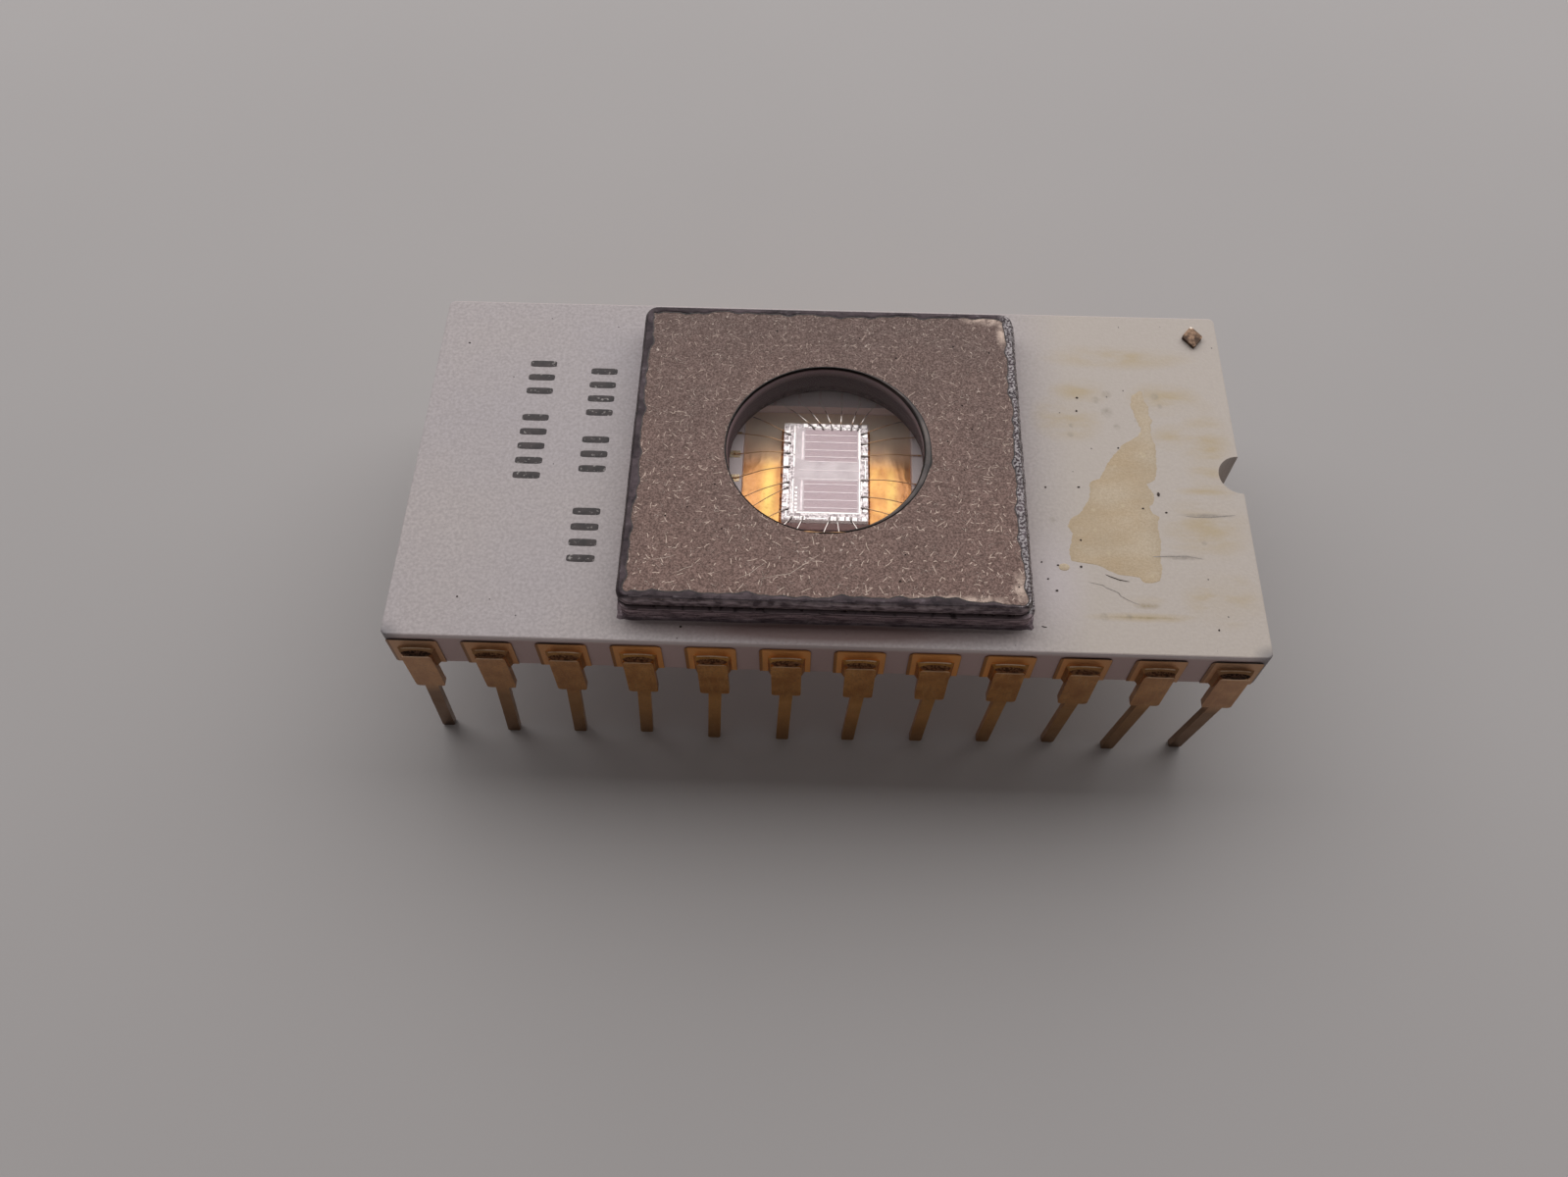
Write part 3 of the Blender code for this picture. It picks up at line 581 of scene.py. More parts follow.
def braze_metal():
    """Braze, paler than the plating: partly its own tone, partly a painted highlight."""
    finish = Finish("braze_metal", metallic=0.5)
    cloud = finish.grain(3.0, 2.0, by=10.0)
    # Painted highlight: the pale tones stand in part for the light the lip catches.
    finish.ground(cloud, 0.35, 0.65, (206, 172, 138), (246, 220, 190))
    return finish.coat(0.40, cloud, 0.01)


def lead_places():
    """The middle along X and the side along Y, -1 for near and 1 for far, of every lead."""
    middles = (np.arange(12) - 5.5) * PITCH
    return [(middle, side) for side in (-1, 1) for middle in middles]


add_piece(
    "braze_lips",
    [braze_lip(*place) for place in lead_places()],
    braze_metal(),
)
add_piece(
    "stamped_ends",
    [cut_end(*place) for place in lead_places()],
    stamped_end(),
    outward=False,
)

# Index mark: a thick diamond of plated metal fused to the ceramic beside the notch. Its top has
# worn brown, with a painted highlight at its far point and painted shade on its lower sides.
MARK_POINT = (14.01, 6.83)  # the far one, as X and Y


def worn_mark_and_painted_light():
    """Mottled brown plating, with a painted highlight at the far end and painted shade on the lower
    sides.
    """
    finish = Finish("worn_mark_and_painted_light", metallic=0.7)
    cloud = finish.grain(5.0, 4.0, by=7.0)
    finish.ground(cloud, 0.38, 0.62, (80, 62, 51), (148, 119, 97))
    # Painted highlight at the mark's far point.
    finish.lay((236, 222, 206), finish.spot(*MARK_POINT, 0.09, 0.08))
    # Painted shade: the lower sides of the mark are darker.
    finish.lay_where((40, 26, 22), finish.z, BODY_TOP + 0.09, BODY_TOP + 0.04, 0.8)
    return finish.coat(finish.ramp(cloud, 0.4, 0.6, 0.62, 0.5), cloud, 0.02)


dress(["index_mark"], worn_mark_and_painted_light())

# Seal ring: a Kovar frame brazed to the ceramic round the cavity. The braze has run out at its
# foot, and into a point at each corner.
RING_HALF = (6.975, 6.515)
RING_CORNER = 0.40
RING_TOP = 7.66
STEPS = 720  # round the ring, and round the lid


def round_the(half, corner):
    """Places and outward directions, evenly spaced round a rectangle with round corners."""
    turn = np.linspace(0, np.pi / 2, 25)
    signs = ((1, 1), (-1, 1), (-1, -1), (1, -1))
    angle = np.concatenate([turn + quarter * np.pi / 2 for quarter in range(4)])
    sign = np.repeat(np.array(signs), len(turn), axis=0)
    out = np.stack([np.cos(angle), np.sin(angle)], axis=1)
    place = sign * (np.array(half) - corner) + corner * out
    place, out = np.vstack([place, place[:1]]), np.vstack([out, out[:1]])
    run = np.concatenate([[0], np.cumsum(np.hypot(*np.diff(place, axis=0).T))])
    at = np.linspace(0, run[-1], STEPS + 1)
    place, out = (
        np.stack([np.interp(at, run, values[:, axis]) for axis in (0, 1)], axis=1)
        for values in (place, out)
    )
    return place, out / np.linalg.norm(out, axis=1, keepdims=True)


def ripples(seed, waves=(3, 9, 17, 31, 53), fade=0.75, steps=STEPS):
    """A smooth uneven value round a closed path, between about -1 and 1.

    It is a sum of sines with these numbers of waves, each weaker than the last by the fade.
    """
    rng = np.random.default_rng(seed)
    turn = np.linspace(0, 2 * np.pi, steps + 1)
    total = np.zeros(steps + 1)
    for order, wave in enumerate(waves):
        total += fade**order * np.sin(wave * turn + rng.uniform(0, 2 * np.pi))
    return total / sum(fade**order for order in range(len(waves)))


def carried(path, section, centre=(0.0, 0.0)):
    """A section carried along a path of places that each have an outward direction.

    The section is a list of points, each its distance outwards from the path and its height,
    and each distance and height is one number or one for every step.
    """
    place, out = path
    sheet = np.empty((len(out), len(section), 3))
    for column, (distance, height) in enumerate(section):
        sheet[:, column, :2] = place + out * np.reshape(distance, (-1, 1)) + np.array(centre)
        sheet[:, column, 2] = height
    return sheet


def ring_metal():
    """Oxidised Kovar: grey-brown, with dark and pale streaks along the wall, and painted shade at
    its foot.
    """
    finish = Finish("oxidised_kovar", metallic=0.6)
    streak = finish.grain(2.2, 4.0, by=3.0, stretch=(0.7, 0.7, 4))
    fine = finish.grain(11.0, 3.0, by=13.0)
    finish.ground(streak, 0.38, 0.62, (134, 116, 122), (214, 192, 198))
    finish.lay_where((64, 52, 55), fine, 0.55, 0.75, 0.6)
    # Painted shade: dark at the foot, where the ring meets the ceramic.
    finish.lay_where((52, 38, 44), finish.z, BODY_TOP + 0.10, BODY_TOP + 0.02, 0.75)
    return finish.coat(finish.ramp(streak, 0.4, 0.6, 0.55, 0.42), fine, 0.025)


def braze_foot():
    """The foot: hollow from the wall down to the ceramic, uneven, and pointed at corners."""
    _, out = RING_PATH
    corner = np.abs(out[:, 0] * out[:, 1]) * 2
    wide = 0.10 + 0.035 * ripples(5) + 0.16 * corner**10
    tall = BODY_TOP + 0.08 + 0.04 * ripples(6)
    low = BODY_TOP - 0.002
    section = [(-0.25, tall), (0.005, tall), (wide * 0.35, tall * 0.4 + low * 0.6)]
    section += [(wide, low + 0.006), (wide, low), (-0.25, low), (-0.25, tall)]
    return carried(RING_PATH, section)


RING_PATH = round_the(RING_HALF, RING_CORNER)
RING_METAL = ring_metal()
dress(["seal_ring"], RING_METAL)
spread = add_piece("braze_foot", [braze_foot()], RING_METAL)
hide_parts("seal_ring_braze")

# Solder between ring and lid: it bulges out of the joint in a bumpy ledge, and it has crept up
# the lid's edge and onto its top in a rim with a wavy inner boundary.
LID_HALF = (6.955, 6.415)
LID_CENTRE = (MIDDLE_X, 0.0)
LID_CORNER = 0.45
LID_BOTTOM = 7.76
LID_TOP = 8.16


def solder_ledge():
    """The ledge: from the ring's wall out over a bump that changes along the joint, and in."""
    bulge = 0.040 + 0.022 * ripples(11, (7, 19, 41, 67, 97), 0.9)
    level = RING_TOP + 0.015 + 0.010 * ripples(12, (5, 13, 29, 47), 0.8)
    low = RING_TOP - 0.11
    section = [(-0.30, low), (0.002, low), (bulge * 0.8, level - 0.07), (bulge, level)]
    section += [(bulge * 0.5, level + 0.035), (-0.09, level + 0.045)]
    section += [(-0.30, RING_TOP + 0.05), (-0.30, low)]
    return carried(RING_PATH, section)


def rim_reach():
    """How far the rim runs in over the lid's top at each step, least at its worn corner."""
    reach = 0.29 + 0.15 * ripples(22, (7, 17, 31, 52, 83), 0.85)
    place, _ = LID_PATH
    worn = np.exp(-(((place[:, 0] - 6.9) / 1.2) ** 2) - ((place[:, 1] + 6.4) / 0.8) ** 2)
    return np.maximum(reach, 0.12) * (1 - 0.6 * worn)


def rim_line():
    """The dark line where the rim's flux has dried along its inner boundary."""
    inner, outer = -rim_reach() - 0.03, -rim_reach() + 0.01
    low, high = LID_TOP - 0.01, LID_TOP + 0.006
    section = [(outer, high), (inner, high), (inner, low), (outer, low), (outer, high)]
    return carried(LID_PATH, section, LID_CENTRE)


def solder_rim():
    """The rim: up the lid's edge, over its corner and in along its top to a wavy boundary."""
    side = 0.016 + 0.010 * ripples(21, (9, 23, 45), 0.8)
    reach = rim_reach()
    high = LID_TOP + 0.020 + 0.008 * ripples(23, (6, 15, 37), 0.8)
    low = LID_BOTTOM + 0.04
    section = [(-0.02, low), (side, low + 0.01), (side * 1.3, LID_TOP - 0.21)]
    section += [(side, LID_TOP - 0.11), (-0.03, LID_TOP - 0.03), (-0.09, high)]
    section += [(-reach * 0.6, high + 0.006), (-reach * 0.85, high - 0.002)]
    section += [(-reach, LID_TOP + 0.001), (-reach, LID_TOP - 0.02)]
    section += [(-reach * 0.5, LID_TOP - 0.12), (-0.02, low)]
    return carried(LID_PATH, section, LID_CENTRE)


def solder():
    """Dull blue-grey solder in soft streaks, and silver where the right side has rubbed.

    On the near side it is painted paler, as light on its shaded faces, with dark blobs on the
    ledge below the lid.
    """
    finish = Finish("dull_solder", metallic=0.7)
    cloud = finish.grain(1.0, 3.0, by=2.0)
    lumps = finish.grain(4.0, 4.0, by=19.0, stretch=(0.8, 0.8, 2))
    finish.ground(cloud, 0.35, 0.65, (50, 41, 44), (76, 64, 68))
    finish.lay_where((40, 34, 38), lumps, 0.42, 0.32, 0.6)
    right = finish.ramp(finish.x, 6.3, 6.6)
    crumbs = finish.grain(11.0, 4.0, by=33.0)
    finish.lay((160, 153, 154), right, finish.ramp(crumbs, 0.44, 0.60, 0.0, 0.95))
    finish.lay_where((110, 102, 106), lumps, 0.60, 0.74, 0.4)
    # Painted light: paler tones for the near side, whose faces lie in shade.
    painted_near_light_and_blobs = finish.tones(lumps, 0.36, 0.62, (96, 83, 88), (172, 156, 160))
    low = finish.ramp(finish.z, LID_BOTTOM + 0.02, LID_BOTTOM - 0.02)
    painted_near_light_and_blobs = finish.mix(low, painted_near_light_and_blobs, (138, 122, 126))
    blob = finish.times(low, finish.ramp(lumps, 0.46, 0.36, 0.0, 0.8))
    painted_near_light_and_blobs = finish.mix(blob, painted_near_light_and_blobs, (50, 38, 40))
    finish.lay_where(painted_near_light_and_blobs, finish.y, -6.31, -6.38)
    return finish.coat(finish.ramp(lumps, 0.35, 0.65, 0.55, 0.38), lumps, 0.026)


def dried_flux():
    """Brown-black flux."""
    finish = Finish("dried_flux")
    finish.ground(finish.grain(5.0, 3.0, by=6.0), 0.4, 0.6, (30, 24, 24), (74, 60, 56))
    return finish.coat(0.5)


LID_PATH = round_the(LID_HALF, LID_CORNER)
SOLDER = solder()
ledge = add_piece("solder_ledge", [solder_ledge()], SOLDER)
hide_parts("lid_solder")
add_piece("solder_rim", [solder_rim()], SOLDER)
add_piece("flux_line", [rim_line()], dried_flux())

# Lid: a metal frame stamped with a round hole and a collar below it. Its top is matt and grey
# brown, with fine fibres of bright metal, scratches and pits, and is rubbed bare at two corners.
HOLE_MIDDLE = LID_CENTRE
HOLE_RADIUS = 3.65
# Bare corners: middle along X and Y, half length, half width and softness
WORN_CORNERS = (
    (5.9, 6.15, 1.1, 0.40, 0.7),
    (6.45, 5.5, 0.25, 0.9, 0.8),
    (4.6, -6.12, 2.4, 0.22, 0.8),
    (6.48, -5.65, 0.32, 0.85, 0.8),
)
# Fibres: waves to a millimetre, width and shift
FIBRE_LAYERS = ((2.2, 0.007, 8.0), (3.4, 0.010, 17.0))
# Fine scratches: cells to a millimetre, half length, half width and shift
SCRATCH_LAYERS = ((1.1, 0.20, 0.015, 3.0), (1.9, 0.13, 0.017, 31.0), (3.0, 0.07, 0.019, 57.0))
SCRATCHED = 0.42  # share of the cells that show their scratch
# Long scratches, as X and Y along each
LID_SCRATCHES = (
    ((-2.95, -5.5), (-2.58, -5.33), (-2.31, -5.07), (-2.06, -4.87)),
    ((-2.24, -5.53), (-1.73, -5.38), (-1.22, -5.28), (-0.76, -4.91), (-0.22, -4.48)),
    ((-5.05, -5.35), (-4.78, -5.18), (-4.53, -5.09), (-4.52, -4.95)),
    ((-5.9, -4.88), (-5.5, -4.79), (-5.17, -4.69)),
)


def from_hole(finish):
    """The distance from the hole's middle, seen from above."""
    return finish.length(finish.math("SUBTRACT", finish.x, HOLE_MIDDLE[0]), finish.y)


def lid_metal():
    """Matt grey-brown metal: fine dark mottling, curly pale fibres, scratches, black pits.

    A fibre shows where a noise is close to its middle value, so it runs on in curls, and
    another noise breaks it into pieces. Down the hole the collar is painted dark as shade, and
    is not metallic.
    """
    finish = Finish("lid_metal")
    cloud = finish.ramp(finish.grain(0.5, 3.0, by=1.0), 0.3, 0.7, -2.0, 2.0)
    blotch = finish.grain(4.0, 3.0, by=21.0)
    fine = finish.grain(16.0, 3.0, by=14.0)
    pit = finish.specks(1.3, 0.042, by=25.0)
    near = finish.math("ADD", finish.y, cloud)
    finish.ground(near, 6.0, -6.0, (108, 91, 86), (127, 104, 97))
    finish.lay_where((88, 70, 64), blotch, 0.36, 0.56, 0.0, 0.25)
    finish.lay_where((76, 60, 55), fine, 0.36, 0.56, 0.0, 0.6)
    finish.lay_where((158, 138, 130), fine, 0.58, 0.74, 0.4)
    curls = finish.most(*(fibres(finish, *layer) for layer in FIBRE_LAYERS))
    finish.lay((196, 178, 168), curls, 0.85)
    scratch = finish.most(*(scratches(finish, *layer) for layer in SCRATCH_LAYERS))
    finish.lay((214, 194, 180), scratch, finish.ramp(finish.y, 4.0, -4.0, 0.35, 0.75))
    worn = finish.most(*(finish.spot(*corner) for corner in WORN_CORNERS))
    finish.lay((188, 168, 156), worn, finish.ramp(blotch, 0.34, 0.56, 0.1, 0.95))
    finish.lay((34, 27, 25), pit)
    # Painted shade: the collar down the hole is darker.
    collar = finish.times(
        finish.ramp(from_hole(finish), HOLE_RADIUS + 0.06, HOLE_RADIUS + 0.02),
        finish.ramp(finish.z, LID_TOP - 0.02, LID_TOP - 0.06),
    )
    finish.lay(finish.tones(blotch, 0.36, 0.62, (80, 63, 66), (108, 87, 89)), collar)
    height = finish.math("SUBTRACT", finish.math("ADD", fine, curls), pit)
    rough = finish.ramp(fine, 0.35, 0.65, 0.60, 0.48)
    rough = finish.math("ADD", rough, finish.times(collar, 0.35))
    return finish.coat(rough, height, 0.008, finish.ramp(collar, 0.0, 1.0, 0.8, 0.0))


def fibres(finish, per_mm, width, by):
    """1 along thin curly lines, in broken pieces, and 0 elsewhere."""
    level = finish.size(finish.math("SUBTRACT", finish.grain(per_mm, 1.0, by), 0.5))
    broken = finish.ramp(finish.grain(per_mm * 0.7, 2.0, by + 5.0), 0.53, 0.60)
    return finish.times(finish.ramp(level, width, 0.3 * width), broken)


def scratches(finish, per_mm, length, width, by):
    """1 along short curved lines that lie every way, and 0 elsewhere.

    Each Voronoi cell of the top holds one line through its middle, turned by the cell's own
    random colour and bent a little. Less than half of the cells show theirs.
    """
    place = finish.moved(by)
    cell = finish.node("TexVoronoi", place, None, per_mm, voronoi_dimensions="2D")
    offset = finish.vector("SUBTRACT", place, cell.outputs["Position"])
    dx, dy, _ = finish.node("SeparateXYZ", offset).outputs
    chance, bend, _ = finish.node("SeparateColor", cell.outputs["Color"]).outputs
    angle = finish.times(chance, 2 * np.pi)
    cos, sin = finish.math("COSINE", angle), finish.math("SINE", angle)
    along = finish.math("MULTIPLY_ADD", dx, cos, finish.times(dy, sin))
    across = finish.math("SUBTRACT", finish.times(dy, cos), finish.times(dx, sin))
    bow = finish.times(finish.math("SUBTRACT", bend, 0.2), 6.0 * per_mm)
    curve = finish.math("MULTIPLY_ADD", finish.times(along, along), bow, across)
    near = finish.ramp(finish.size(curve), width, 0.4 * width)
    within = finish.ramp(finish.size(along), length, 0.7 * length)
    return finish.times(near, within, finish.math("LESS_THAN", bend, SCRATCHED))


dress(["window_frame"], lid_metal())
add_piece(
    "lid_scratches",
    [strand(path, 0.012, 0.003, LID_TOP) for path in LID_SCRATCHES],
    fine_mark("bright_scratch", (186, 164, 152), (222, 202, 188)),
)

# Window: a disc of clear glass, fused into the hole with a bead of sealing glass. The bead is
# thicker on the right, where it has run over the edge of the hole.
GLASS_TOP = 8.10
BEAD_INSIDE = 3.51  # radius, next to the glass
BEAD_DARK = (112, 94, 97)


def seal_bead():
    """The bead: a closed section turned round the hole, wider towards +X, with small waves."""
    steps = 360
    turn = np.linspace(0, 2 * np.pi, steps + 1)
    right = np.clip(np.cos(turn + 0.15), 0, 1) ** 1.5
    lump = np.exp(-(((turn - 6.13) / 0.07) ** 2))
    inner = 3.59 - 0.115 * right + 0.008 * ripples(31, (5, 11, 23, 41), 0.8, steps)
    outer = HOLE_RADIUS + 0.005 + 0.075 * right + 0.05 * lump + 0.010 * ripples(32, steps=steps)
    high = LID_TOP + 0.012 + 0.025 * right
    hole, low = HOLE_RADIUS - 0.005, LID_TOP - 0.95
    section = [(BEAD_INSIDE, low), (inner, GLASS_TOP - 0.03), (inner + 0.02, GLASS_TOP + 0.02)]
    section += [(inner * 0.65 + outer * 0.35, high), (inner * 0.4 + outer * 0.6, high)]
    section += [(outer, LID_TOP), (hole, LID_TOP - 0.04), (hole, low), (BEAD_INSIDE, low)]
    out = np.stack([np.cos(turn), np.sin(turn)], axis=1)
    return carried((0, out), section, HOLE_MIDDLE)


def seal_glass():
    """Grey sealing glass on the right and brown-black round the rest, with dark rims.

    Down the hole it is matt, painted pale near the top and darker with depth as shade. Its near
    side has one painted warm glint. The dark line round its outer foot is a painted shadow.
    """
    finish = Finish("sealing_glass")
    cloud = finish.grain(1.2, 3.0, by=8.0)
    grey = finish.tones(cloud, 0.4, 0.6, (82, 73, 72), (122, 110, 106))
    finish.ground(finish.x, 1.0, 3.0, (84, 70, 64), grey)
    reach = from_hole(finish)
    # Painted shadow: black round the bead's outer foot, in the gap by the lid; both edges are dark
    # too.
    low = finish.ramp(finish.z, LID_TOP + 0.022, LID_TOP + 0.012)
    line = finish.ramp(reach, HOLE_RADIUS - 0.075, HOLE_RADIUS - 0.05, 0.6, 1.0)
    finish.lay((18, 13, 12), low, line)
    inner_rim = finish.ramp(reach, HOLE_RADIUS - 0.12, HOLE_RADIUS - 0.15)
    outer_rim = finish.ramp(reach, HOLE_RADIUS + 0.035, HOLE_RADIUS + 0.065)
    finish.lay((24, 18, 17), finish.most(inner_rim, outer_rim), 0.85)
    # Painted highlight: one warm glint on the near side.
    glint = finish.spot(-0.2, -3.59, 0.9, 0.03, 0.4)
    finish.lay((255, 196, 140), glint, finish.ramp(finish.z, GLASS_TOP, GLASS_TOP + 0.03))
    # Painted light and shade: down the hole the bead is pale near the top and darker with depth.
    inside = finish.ramp(finish.z, GLASS_TOP - 0.03, GLASS_TOP - 0.08)
    deep = finish.tones(finish.z, LID_TOP - 0.46, LID_TOP - 0.21, BEAD_DARK, (180, 156, 160))
    finish.lay(deep, inside)
    finish.shader.inputs["Specular IOR Level"].default_value = 0.25
    return finish.coat(finish.ramp(inside, 0.0, 1.0, 0.30, 0.85))


def clear_glass():
    """Thin clear glass: it lets light straight through, and its upper face shines a little."""
    finish = Finish("clear_window")
    tree = finish.tree
    tree.nodes.remove(finish.shader)
    through = finish.node("BsdfTransparent", (0.97, 0.965, 0.96, 1.0))
    gloss = finish.node("BsdfGlossy")
    smear = finish.grain(0.8, 3.0, by=4.0)
    finish.feed(gloss.inputs["Roughness"], finish.ramp(smear, 0.3, 0.7, 0.02, 0.08))
    edge = finish.node("Fresnel", 1.35).outputs[0]
    upper = finish.ramp(finish.z, GLASS_TOP - 0.004, GLASS_TOP - 0.002)
    share = finish.times(edge, upper, 0.3)
    both = finish.node("MixShader", share, through.outputs[0], gloss.outputs[0])
    finish.feed(tree.nodes["Material Output"].inputs["Surface"], both.outputs[0])
    return finish.material


bead = add_piece("sealing_bead", [seal_bead()], seal_glass(), sharp=60.0)
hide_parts("glass_seal")
dress(["window_glass"], clear_glass())

# Cavity floor: bright gold plating on the ceramic, uneven like hammered foil, with the gold and
# silicon bond that holds the die standing out round it in a rough coppery edge.

def floor_gold():
    """Bright gold with soft paler bands beside the die, coppery flecks and a gentle relief.

    In front of the die it is grey. Behind the die it is painted paler and duller, to lift its
    shade. The paler bands beside the die and the darker coppery parts further out are painted
    reflections.
    """
    finish = Finish("floor_gold")
    patch = finish.grain(1.3, 2.0, by=3.0, stretch=(1.4, 0.7, 1))
    fine = finish.grain(8.0, 3.0, by=23.0)
    finish.ground(patch, 0.34, 0.66, (216, 150, 96), (236, 182, 112))
    # Painted reflections: paler bands beside the die, and darker coppery parts further out.
    bands = ((-2.15, -0.7, 0.35, 1.9), (2.45, -0.6, 0.30, 1.6))
    finish.lay((255, 224, 130), finish.spots(bands, 0.8), 0.8)
    away = finish.size(finish.math("ADD", finish.x, -MIDDLE_X))
    outer = finish.math("ADD", away, finish.ramp(patch, 0.3, 0.7, -0.3, 0.3))
    finish.lay_where((204, 140, 100), outer, 2.3, 2.8, 0.6)
    finish.lay_where((190, 124, 80), fine, 0.52, 0.74, 0.5)
    grey_front = finish.ramp(finish.y, -2.25, -2.40)
    finish.lay((222, 204, 196), grey_front)
    # Painted light: behind the die the gold is painted paler, to lift its shade.
    far = finish.ramp(finish.y, 0.6, 2.3)
    finish.lay((255, 236, 216), far)
    dull = finish.most(grey_front, finish.times(far, 0.9))
    polish = finish.ramp(patch, 0.35, 0.65, 0.36, 0.28)
    rough = finish.math("ADD", polish, finish.times(far, 0.36))
    return finish.coat(rough, patch, 0.045, finish.ramp(dull, 0.0, 1.0, 1.0, 0.2))


def bond_gold():
    """Gold and silicon, melted together: coppery and rough, and grey on its near side."""
    finish = Finish("bond_gold", metallic=0.9)
    lumps = finish.grain(7.0, 4.0, by=9.0)
    finish.ground(lumps, 0.38, 0.64, (112, 58, 36), (204, 128, 70))
    grey_front = finish.ramp(finish.y, -2.15, -2.22)
    finish.lay((214, 198, 196), grey_front)
    return finish.coat(0.42, lumps, 0.05, finish.ramp(grey_front, 0.0, 1.0, 0.9, 0.0))


dress(["cavity_plating"], floor_gold())
dress(["die_attach"], bond_gold())

# Die: a silicon chip whose circuit shows as two banks of memory cells, with bands of drivers
# beside them and aluminium tracks and bond pads round its edge.
DIE_TOP = 6.55
METAL_HEIGHT = 0.006


def silicon():
    """Grey-violet banks with fine columns, paler bands between, and a pale sawn side.

    Along the near side a strip is bare, where the saw ran between two dies.
    """
    finish = Finish("silicon_die", metallic=0.8)

    def block(x0, x1, y0, y1):
        """1 inside these limits and 0 outside."""
        limits = ((finish.x, x0, 0.02), (finish.y, y0, 0.02))
        limits += ((finish.x, x1, -0.02), (finish.y, y1, -0.02))
        return finish.times(*(finish.ramp(at, edge, edge + soft) for at, edge, soft in limits))

    bank = finish.most(block(-0.84, 1.12, 0.50, 1.96), block(-0.84, 1.12, -1.72, -0.36))
    columns = finish.node("TexWave", finish.place, 9.0, 0.0, bands_direction="X")
    fine = finish.ramp(columns.outputs[1], 0.2, 0.8, 0.0, 0.5)
    banks = finish.mix(fine, (166, 148, 153), (186, 169, 173))
    cloud = finish.grain(2.0, 3.0, by=7.0)
    bands = finish.tones(cloud, 0.35, 0.65, (182, 171, 174), (196, 185, 188))
    circuit = finish.grain(13.0, 2.0, by=5.0)
    busy = finish.tones(circuit, 0.42, 0.58, (150, 138, 141), (228, 219, 221))
    inside = block(-1.22, 1.20, -1.78, 2.00)
    finish.colour = finish.mix(inside, busy, finish.mix(bank, bands, banks))
    finish.lay_where((116, 103, 101), finish.y, -2.06, -2.09)
    side = finish.ramp(finish.z, DIE_TOP - 0.01, DIE_TOP - 0.03)
    finish.lay((236, 212, 210), side)
    return finish.coat(0.26, cloud, 0.001, finish.ramp(side, 0.0, 1.0, 0.8, 0.0))


def plate(outline, top, bottom):
    """A flat closed plate: from the middle of its top out to the outline, down, and back in."""
    middle = np.broadcast_to(np.mean(outline[:4], axis=0), np.shape(outline))
    x, y = np.stack([middle, outline, outline, middle]).T
    return grid(x, y, np.array([top, top, bottom, bottom]))


def plates(rows):
    """Flat plates of metal on the die, from rows of X, X, Y and Y limits."""
    for x0, x1, y0, y1 in rows:
        outline = np.array([(x0, y0), (x0, y1), (x1, y1), (x1, y0), (x0, y0)])
        yield plate(outline, DIE_TOP + METAL_HEIGHT, DIE_TOP - 0.002)


# The limits of a plate of metal, from the middle and the width of its line
def line_along_x(x0, x1, y, width):
    return (x0, x1, y - width / 2, y + width / 2)


def line_along_y(x, y0, y1, width):
    return (x - width / 2, x + width / 2, y0, y1)


def square(x, y, size):
    return (x - size / 2, x + size / 2, y - size / 2, y + size / 2)


# Lines along X: their ends, their middle along Y and their width
LINES_ALONG_X = (
    (-0.73, 1.14, 2.05, 0.05), (-1.52, -1.22, 2.19, 0.04), (-1.10, 1.24, -1.765, 0.05),
    (-1.47, -0.96, -1.975, 0.05), (-0.69, 0.03, -2.01, 0.035), (-0.69, 0.03, -1.83, 0.02),
    (-1.45, -1.20, 0.77, 0.035), (1.24, 1.42, 0.575, 0.03), (1.24, 1.34, -0.33, 0.03),
    (1.24, 1.42, -0.81, 0.03),
)  # fmt: skip
# Lines along Y: their middle along X, their ends and their width
LINES_ALONG_Y = (
    (-1.23, 0.23, 2.13, 0.055), (-1.43, 0.77, 2.20, 0.035), (-1.24, -1.80, -0.32, 0.035),
    (-1.30, -1.80, -0.40, 0.02), (-1.43, -1.72, 0.10, 0.03), (-1.46, -1.97, -1.66, 0.05),
    (1.19, 0.59, 2.05, 0.07), (1.19, -1.75, 0.59, 0.035), (1.25, -1.75, -0.35, 0.02),
    (1.41, -0.28, 0.56, 0.035), (1.28, -0.81, -0.33, 0.03),
)  # fmt: skip
BRIGHT_METAL = [line_along_x(*line) for line in LINES_ALONG_X]
BRIGHT_METAL += [line_along_y(*line) for line in LINES_ALONG_Y]
BRIGHT_METAL += [(-1.605, -1.43, 0.27, 0.66)]
BRIGHT_METAL += [square(-1.12, y, 0.085) for y in (-0.70, -0.90, -1.05, -1.22, -1.39, -1.55, -1.67)]
BRIGHT_METAL += [square(x, 2.0, 0.085) for x in (0.15, 0.38, 0.52, 0.65, 0.81, 1.00)]
FINE_TRACKS = [line_along_x(-0.83, 1.09, y, 0.028) for y in (1.69, 1.37, 1.01, 0.70, 0.49)]
FINE_TRACKS += [line_along_x(-1.04, 1.19, y, 0.028) for y in (0.10, -0.30)]
FINE_TRACKS += [line_along_x(-0.82, 1.09, y, 0.028) for y in (-0.52, -0.87, -1.21, -1.55)]
FINE_TRACKS += [line_along_y(-0.92, 0.55, 1.85, 0.07), line_along_y(-0.92, -1.68, -0.36, 0.07)]
PADS = [(x, 2.13) for x in (-0.83, -0.50, -0.18, 0.14, 0.45, 0.76, 1.05, 1.37)]
PADS += [(x, -2.0) for x in (-0.85, 0.16, 0.36, 0.56, 0.80, 1.02, 1.36)]
PADS += [(-1.52, y) for y in (1.79, 1.35, 1.05, 0.02, -0.55, -0.90, -1.45)]
PADS += [(1.40, y) for y in (1.72, 1.30, 0.85, -0.50, -1.15, -1.60)]


